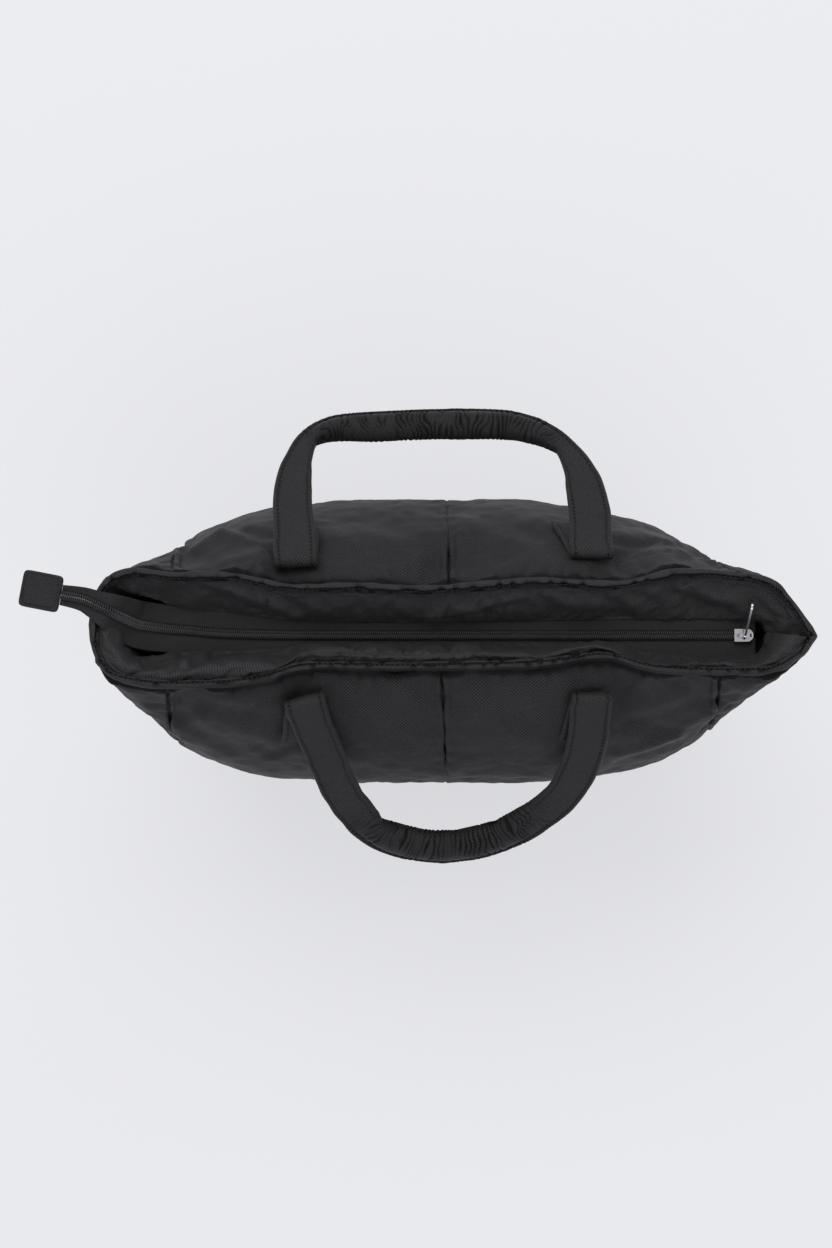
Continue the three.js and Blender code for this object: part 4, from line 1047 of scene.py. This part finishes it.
# Folds of a facing, from point to point of the plan: height of the ridge, its width
FACING_FOLDS = {
    "back": [
        ((-11, 12), (21, 18), 2.6, 2.4), ((21, 18), (50, 25), 2.0, 2.6),
        ((-160, 32), (-112, 16), 2.2, 3.5), ((-120, 34), (-95, 18), 1.5, 4.0),
        ((-60, 20), (-20, 14), 1.2, 5.0), ((70, 20), (120, 16), 1.2, 4.0),
        ((150, 30), (185, 20), 2.0, 3.5), ((120, 30), (150, 22), 1.2, 4.0),
    ],
    "front": [
        ((-172, -18), (-155, -10), 2.4, 2.6), ((-155, -10), (-112, -5), 2.4, 2.6),
        ((-205, -22), (-168, -6), 2.0, 3.0), ((-140, -20), (-100, -12), 1.2, 4.0),
        ((-90, -8), (-20, -9), 1.4, 2.4), ((0, -8), (60, -3), 1.4, 2.6),
        ((100, -8), (150, -14), 1.8, 3.5), ((150, -10), (180, -22), 1.6, 4.0),
    ],
}


FACING_HALF_LENGTH = 245.0
FACING_DEPTH = 38.0
STITCH_DROP = 2.4


def make_facing(side):
    """A facing's cloth, with its folds, puckers and the row of stitches below the hem."""
    grid = facing_grid(side)
    pinned = np.zeros(grid.shape[:2], dtype=bool)
    pinned[[0, -1], :] = True
    pinned[:, [0, -1]] = True
    settled = settle(
        grid, pinned, grow=0.025, pressure=0.4, frames=20, cap=3.0, bend=3.0, flip=side == "back",
    )
    places = np.linspace(-1.0, 1.0, 601)
    shares = np.linspace(0.0, 1.0, 49)
    fine = resample(resample(settled, FACING_PLACES, places, 1), FACING_SHARES, shares, 0)
    inward = grid_normals(fine) * (-1.0 if side == "front" else 1.0)
    length = places[None, :] * FACING_HALF_LENGTH
    down = shares[:, None] * FACING_DEPTH
    seed = 31 if side == "front" else 37
    top = np.exp(-down / 5.0)
    pucker = noise(length / 4.0, 9.0 + down / 30.0, seed + 2)
    move = creases(fine, FACING_FOLDS[side])
    move += 0.9 * noise(length / 34.0 + down / 30.0, down / 20.0, seed)
    move += 0.4 * noise(length / 10.0 + down / 14.0, down / 9.0, seed + 1)
    move += 0.8 * pucker * top - 0.8 * hill(down - STITCH_DROP, 0.7)
    gather = noise(length / 5.5, 30.0 + down / 30.0, seed + 3)
    move += 0.8 * gather * np.exp(-(FACING_DEPTH - down) / 8.0)
    edge = smooth(shares / 0.05)[:, None] * smooth((1 - shares) / 0.05)[:, None]
    fine = fine + inward * (move * edge)[..., None]
    facing = grid_object(f"facing_{side}_cloth", fine, flip=side == "back")
    solid = facing.modifiers.new("thickness", "SOLIDIFY")
    solid.thickness = 0.8 * MM
    solid.offset = 0.0
    attach(facing, f"facing_{side}", FACING)
    flat = facing_grid(side)
    row = int(np.argmin(np.abs(down[:, 0] - STITCH_DROP)))
    line = fine[row] + inward[row] * 0.5
    name = f"facing_stitches_{side}"
    capsules(name, line[6:-6], inward[row][6:-6], 2.4, 3.4, 0.3, THREAD)


for side in ("front", "back"):
    make_facing(side)


# Tab at the zip's free end


TAB_STITCH_INSET = 2.1


def make_tab():
    """A folded square of cloth with stitches just inside its edge."""
    middle, along, back, up, half = (value[0] for value in zip_frame(np.array([ZIP_START])))
    centre = middle - along * (TAB_LENGTH / 2 + GAP)
    count = 61
    u, v = np.meshgrid(np.linspace(-1, 1, count), np.linspace(-1, 1, count))
    edge = np.maximum(np.abs(u), np.abs(v))
    power = 9.0
    round_edge = np.maximum((np.abs(u) ** power + np.abs(v) ** power) ** (1 / power), 1e-9)
    squeeze = np.where(edge > 0, edge / round_edge, 1.0)
    x = u * squeeze * TAB_LENGTH / 2
    y = v * squeeze * TAB_WIDTH / 2
    inset = (1.0 - edge) * TAB_WIDTH / 2
    dome = TAB_THICKNESS / 2 * (1.0 - edge**14) ** 0.5
    stitch = 0.7 * hill(inset - TAB_STITCH_INSET, 0.6)
    crumple = 0.35 * noise(x / 6.0 + 20, y / 5.0 + 20, 71) * smooth(inset / 3.0)
    faces = []
    sheets = []
    for sign in (1.0, -1.0):
        height = sign * np.maximum(dome - stitch * (dome > 0.5) + crumple, 0.0) * (edge < 1.0)
        sheets.append(centre + x[..., None] * along + y[..., None] * back + height[..., None] * up)
        faces += grid_faces(count, count, start=0 if sign > 0 else count * count, flip=sign < 0)
    points = np.concatenate([sheet.reshape(-1, 3) for sheet in sheets])
    flat = np.stack([x, y], axis=-1).reshape(-1, 2)
    tab = mesh_object("tab", points, faces, np.concatenate([flat, flat]))
    attach(tab, "zip_end_tab", STRAP)
    half_x = TAB_LENGTH / 2 - TAB_STITCH_INSET
    half_y = TAB_WIDTH / 2 - TAB_STITCH_INSET
    corners = np.array([(-half_x, -half_y), (half_x, -half_y), (half_x, half_y), (-half_x, half_y)])
    for number, start in enumerate(corners):
        end = corners[(number + 1) % len(corners)]
        plan = start + (end - start) * np.linspace(0, 1, 30)[:, None]
        line = centre + plan[:, :1] * along + plan[:, 1:] * back + up * (TAB_THICKNESS / 2 - 0.55)
        ups = np.repeat(up[None, :], len(line), axis=0)
        capsules(f"tab_stitches_{number}", line, ups, 1.9, 2.6, 0.26, THREAD)


make_tab()


# Slider and pull keep their shapes, with polished edges

for name in ("slider_body", "slider_pull"):
    piece = bpy.data.objects[name]
    bevel = piece.modifiers.new("bevel", "BEVEL")
    bevel.width = 0.32 * MM
    bevel.segments = 3
    bevel.limit_method = "ANGLE"
    dress(piece, METAL)


# Handles


FACE_STEPS = 400
PLACE_PASSES = 4


class Face:
    """The outer face of a panel near the rim, read by place and by length down from the hem."""

    def __init__(self, side):
        self.side = side
        self.places = np.linspace(-1.0, 1.0, FACE_STEPS + 1)
        heights = np.linspace(1.0, 0.6, 81)
        sewn = sewn_grid(side, self.places, heights[::-1])
        normals = outward_normals(side, sewn)
        self.grid = (sewn + normals * puff_grid(self.places, heights[::-1])[..., None])[::-1]
        steps = np.linalg.norm(np.diff(self.grid, axis=0), axis=2)
        self.lengths = np.concatenate([np.zeros((1, FACE_STEPS + 1)), np.cumsum(steps, axis=0)])

    def at(self, place, down):
        column = (np.clip(place, -1, 1) + 1) / 2 * FACE_STEPS
        low = min(int(column), FACE_STEPS - 1)
        left, right = (
            between(down, self.lengths[:, number], self.grid[:, number]) for number in (low, low + 1)
        )
        return mix(left, right, column - low)

    def place_at(self, x, down):
        """The place along the panel whose face lies at x, that far down."""
        run = MOUTH_HALF_LENGTH + MOUTH_HALF_DEPTH / 2
        place = x / run
        for number in range(PLACE_PASSES):
            place += (x - self.at(place, down)[0]) / run
        return place

    def frame(self, place, down):
        reach = PATCH_LENGTH / 8
        spread = STRAP_WIDTH / 4 / MOUTH_HALF_LENGTH
        point = self.at(place, down)
        up = unit(self.at(place, max(down - reach, 0)) - self.at(place, down + reach))
        right = unit(self.at(place + spread, down) - self.at(place - spread, down))
        normal = unit(np.cross(right, up) if self.side == "front" else np.cross(up, right))
        rise = 0.0
        for aside in (-2, -1, 1, 2):
            for below in (-reach, 0, reach):
                beside = self.at(place + aside * spread, max(0.0, down + below))
                rise = max(rise, float(np.dot(beside - point, normal)))
        return point + normal * rise, up, normal


def patch_stations(side, face, end, x, width):
    """The sewn patch from its lower end, and the fold above it."""
    drop, lean, slant = (ENDS[side][name][end] for name in ("drop", "lean", "slant"))
    across_at = face.place_at(x, drop * PATCH_LENGTH)
    half_width = STRAP_WIDTH * width / 2
    lift = 0.6 + PATCH_THICKNESS / 2

    def patch_at(below):
        place = across_at + lean * below * PATCH_LENGTH / MOUTH_HALF_LENGTH
        point, up, normal = face.frame(place, (drop + below) * PATCH_LENGTH)
        return point + normal * lift, up, normal

    stations = []
    for below in np.linspace(1.0, 0.06, 20):
        point, up, normal = patch_at(below)
        toward_fold = float(smooth(1.0 - below / 0.3))
        side_way = turned(np.cross(up, normal), normal, slant * toward_fold)
        stations.append((point, side_way, normal, half_width, PATCH_THICKNESS / 2, 0.0, 1.0))
    point, up, normal = patch_at(0.0)
    across = np.cross(up, normal)
    up = turned(up, across, -FOLD_TIP)
    normal = turned(normal, across, -FOLD_TIP)
    across = turned(np.cross(up, normal), normal, slant)
    half_width /= math.cos(math.radians(slant))
    radius = STRAP_THICKNESS / 2 + GAP
    centre = point + normal * radius
    for share in np.linspace(0.0, 1.0, 22):
        facing = turned(normal, across, 180.0 * share)
        half_thick = mix(PATCH_THICKNESS, STRAP_THICKNESS, share) / 2
        middle = centre - facing * radius
        stations.append((middle, across, facing, half_width, half_thick, 0.0, 1.0 - share))
    return stations


def loop_stations(side, start, end, start_across, end_across):
    """The free part of a handle, from one fold to the other."""
    rows = LOOPS[side]
    reach, slope = REACH[side]
    sign = OUT_SIGN[side]
    down = math.radians(slope)
    out = np.array([0.0, sign * math.cos(down), -math.sin(down)])
    normal = -np.array([0.0, -sign * out[2], sign * out[1]])
    share = (rows["across"] - rows["across"][0]) / (rows["across"][-1] - rows["across"][0])
    points = start + (end - start) * share[:, None]
    points[:, 0] = rows["across"] * HANDLE_HALF_SPREAD
    line = Line(points + out * (rows["out"] * reach)[:, None])
    places = np.linspace(0.006, 0.994, 420)
    middle = line.at(places)
    along = unit(np.gradient(middle, axis=0))
    across = unit(np.cross(along, normal))
    for fold_across, share_away in ((start_across, places), (-end_across, 1.0 - places)):
        near = 1.0 - smooth(share_away / 0.035)[:, None]
        across = unit(mix(across, fold_across, near))
    facing = unit(np.cross(across, along))
    row = line.row_at(places)
    roll = smooth(np.interp(row, np.arange(len(share)), rows["roll"]))
    width = np.interp(row, np.arange(len(share)), rows["width"])
    thick = mix(STRAP_THICKNESS, GRIP_THICKNESS, roll) / 2
    return [
        (middle[n], across[n], facing[n], STRAP_WIDTH * width[n] / 2, thick[n], roll[n], 0.0)
        for n in range(len(places))
    ]


STRAP_STEP = 0.6
GRIP_SIDES = 52
GATHER_PITCH = 3.7

# Shares of the half width: the strap's stitches and piped edge, the grip's seam and flange stitches
STITCH_ROW = 0.74
PIPED_EDGE = 0.9
GRIP_SEAM = 0.68
FLANGE_ROW = 0.84

# Shares of the half thickness: the strap between its piped edges, and the grip's flange
STRAP_BODY = 0.74
FLANGE = 0.24

# Where each grip is joined across, as a share of the handle's half spread
CROSS_SEAM = {"front": 0.28, "back": 0.15}

# Where the inner edge of each handle turns sharply: x, y and how far the turn reaches along it
INNER_KINKS = {
    "front": [(-45.0, -123.0, 20.0), (0.9, -130.5, 5.0)],
    "back": [(-89.4, 134.4, 44.0), (75.5, 128.2, 48.0)],
}


def gathers(even, toward, seed):
    """Cloth drawn up on its seams: round folds with sharp valleys, and the shade in the valleys."""
    bend = 1.3 * noise(even / 13.0, 30.0 + toward * 1.2, seed)
    drift = 0.35 * noise(even / 5.0, 50.0 + toward * 2.0, seed + 1)
    phase = even / GATHER_PITCH + bend + drift
    fold = np.abs(np.sin(math.pi * phase)) ** 0.6
    depth = np.clip(0.6 + 0.9 * noise(even / 6.0, 70.0 + toward * 1.3, seed + 2), 0.05, 1.4)
    return (fold - 0.8) * depth, np.clip((1.0 - fold) * 2.2 - 0.4, 0.0, 1.0) * np.clip(depth, 0, 1)


def strap_line(side):
    """A handle's middle line at even steps: lengths, points, ways across and out, and its sizes."""
    face = Face(side)
    ends = []
    for end, row in ((0, 0), (1, -1)):
        x = LOOPS[side]["across"][row] * HANDLE_HALF_SPREAD
        ends.append(patch_stations(side, face, end, x, LOOPS[side]["width"][row]))
    folds = [stations[-1] for stations in ends]
    middle = loop_stations(side, folds[0][0], folds[1][0], folds[0][1], folds[1][1])
    right = [(p, -a, n, w, t, r, f) for p, a, n, w, t, r, f in ends[1][::-1]]
    columns = [np.array(column) for column in zip(*(ends[0] + middle + right))]
    run = running_lengths(columns[0])
    even = np.arange(0.0, run[-1], STRAP_STEP)
    point, across, normal = (between(even, run, column) for column in columns[:3])
    sizes = [np.interp(even, run, column) for column in columns[3:]]
    return even, point, unit(across), unit(normal), *sizes


def inner_cut(side, even, point, half_width):
    """How far a handle's inner edge is drawn in beside each of its kinks."""
    cut = np.zeros(len(even))
    for x, y, length in INNER_KINKS[side]:
        away = np.linalg.norm(point[:, :2] - np.array([x, y]), axis=1)
        nearest = int(np.argmin(away))
        needed = np.clip(half_width[nearest] - away[nearest], 0.0, 9.0)
        share = np.clip(1.0 - np.abs(even - even[nearest]) / length, 0.0, 1.0)
        cut = np.maximum(cut, needed * share**1.6)
    return cut


def make_handle(side):
    """One strap with piped edges, its middle stuffed and gathered into a grip."""
    even, point, across, normal, half_width, half_thick, roll, patch = strap_line(side)
    outer_edge = np.sign(np.sum(across[len(even) // 2] * np.array([0.0, OUT_SIGN[side], 0.0])))
    seed = 81 if side == "front" else 87
    wobble = 1.0 + 0.03 * noise(even / 9.0, 2.0, seed)
    join = CROSS_SEAM[side] * HANDLE_HALF_SPREAD - point[:, 0]
    near_grip = np.convolve(roll, np.ones(90) / 90.0, mode="same")
    cut = inner_cut(side, even, point, half_width)
    rings = []
    shades = []
    for angle in ring(GRIP_SIDES):
        wide = powered(math.cos(angle), 0.7)
        face_side = math.copysign(1.0, math.sin(angle)) if abs(math.sin(angle)) > 1e-6 else 0.0
        away = abs(wide)
        groove = hill(away - STITCH_ROW, 0.045)
        edge = (1.0 - away**8) ** 0.5
        flat = mix(STRAP_BODY, 1.0, hill(away - PIPED_EDGE, 0.1)) * edge
        toward = wide * outer_edge
        body = np.clip(1.0 - ((toward + 0.17) / 0.83) ** 2, 0.0, 1.0) ** 0.5
        seam = hill(toward - GRIP_SEAM, 0.06)
        shape = mix(flat, max(body, FLANGE * edge), roll)
        gather, valley = gathers(even, wide + 9 * face_side, seed)
        soft = noise(even / 14.0, 70.0 + wide * 1.6 + 4 * face_side, seed + 3)
        strong = 1.9 if toward < 0.6 else 1.0
        rough = roll * (strong * gather - 0.9 * hill(join, 0.8)) * edge
        rough += (1 - roll) * (0.22 * soft + 0.7 * near_grip * gather)
        # Painted shade on the strap: in the dashed stitch rows, over the whole grip and in the valleys of
        # its gathers
        dashes = 0.6 + 0.4 * np.cos(even * 2.0 * math.pi / 3.0)
        sewn = np.maximum(groove * (1 - roll), seam * roll) * dashes
        gather_shade = 0.16 * roll + 0.84 * valley * np.maximum(roll, 0.4 * near_grip)
        shades.append(np.maximum(0.9 * sewn, gather_shade))
        stitch = (0.45 * groove * (1 - roll) + 1.1 * seam * roll) * edge
        height = half_thick * shape * face_side + face_side * (rough - stitch) * (1 - 0.5 * patch)
        spread = half_width * wobble * wide + roll * 0.2 * gather * powered(wide, 6)
        if toward < 0:
            spread -= cut * wide
        rings.append(point + across * spread[:, None] + normal * height[:, None])
    grid = np.stack(rings, axis=1)
    girth = np.cumsum(np.linalg.norm(np.diff(grid, axis=1), axis=2).mean(axis=0))
    uvs = plane(np.concatenate([[0.0], girth]), even)
    handle = loft_object(f"{side}_strap", grid, uvs, np.stack(shades, axis=1))
    attach(handle, f"{side}_handle", STRAP)
    number = 0
    rows = [(STITCH_ROW * way, top, STRAP_BODY, -0.3, roll < 0.25) for way in (-1, 1) for top in (-1, 1)]
    rows += [(FLANGE_ROW * outer_edge, top, FLANGE, 0.1, roll > 0.4) for top in (-1, 1)]
    for wide, top, share, sunk, wanted in rows:
        chosen = np.flatnonzero(wanted & (even > 2) & (even < even[-1] - 2))
        for block in np.split(chosen, np.flatnonzero(np.diff(chosen) > 1) + 1):
            if len(block) < 14:
                continue
            inner = cut[block] if wide * outer_edge < 0 else 0.0 * cut[block]
            line = point[block] + across[block] * ((half_width[block] - inner) * wide)[:, None]
            line += normal[block] * ((half_thick[block] * share + sunk) * top)[:, None]
            capsules(
                f"{side}_strap_stitches_{number}", line, normal[block] * top,
                2.2, 3.0, 0.28, THREAD,
            )
            number += 1


for side in ("front", "back"):
    make_handle(side)


# Floor and light

floor_mesh = bpy.data.meshes.new("floor")
floor_mesh.from_pydata([(-8, -8, 0), (8, -8, 0), (8, 8, 0), (-8, 8, 0)], [], [(0, 1, 2, 3)])
floor = bpy.data.objects.new("floor", floor_mesh)
scene.collection.objects.link(floor)
floor.location.z = -0.0002
pale = Shader("floor").set(
    Base_Color=(0.3, 0.303, 0.318, 1), Roughness=0.95, Specular_IOR_Level=0.0,
    Emission_Color=(0.87, 0.87, 0.89, 1), Emission_Strength=0.66,
)
dress(floor, pale.material)


def lamp(name, place, aim, size, power):
    """A rectangular light at a place, in metres, that looks at its aim."""
    data = bpy.data.lights.new(name, "AREA")
    data.shape = "RECTANGLE"
    data.size, data.size_y = size
    data.energy = power
    made = bpy.data.objects.new(name, data)
    made.location = place
    direction = np.array(aim) - np.array(place)
    made.rotation_euler = Vector(direction).to_track_quat("-Z", "Y").to_euler()
    scene.collection.objects.link(made)


lamp("key", (-0.4, 1.7, 2.7), (0, 0, 0.15), (2.4, 1.6), 40)
lamp("fill", (0.6, -1.6, 2.6), (0, 0, 0.15), (2.4, 1.6), 14)
world = bpy.data.worlds.new("world")
scene.world = world
world.use_nodes = True
world.node_tree.nodes["Background"].inputs["Color"].default_value = (0.93, 0.94, 1.0, 1)
world.node_tree.nodes["Background"].inputs["Strength"].default_value = 0.5
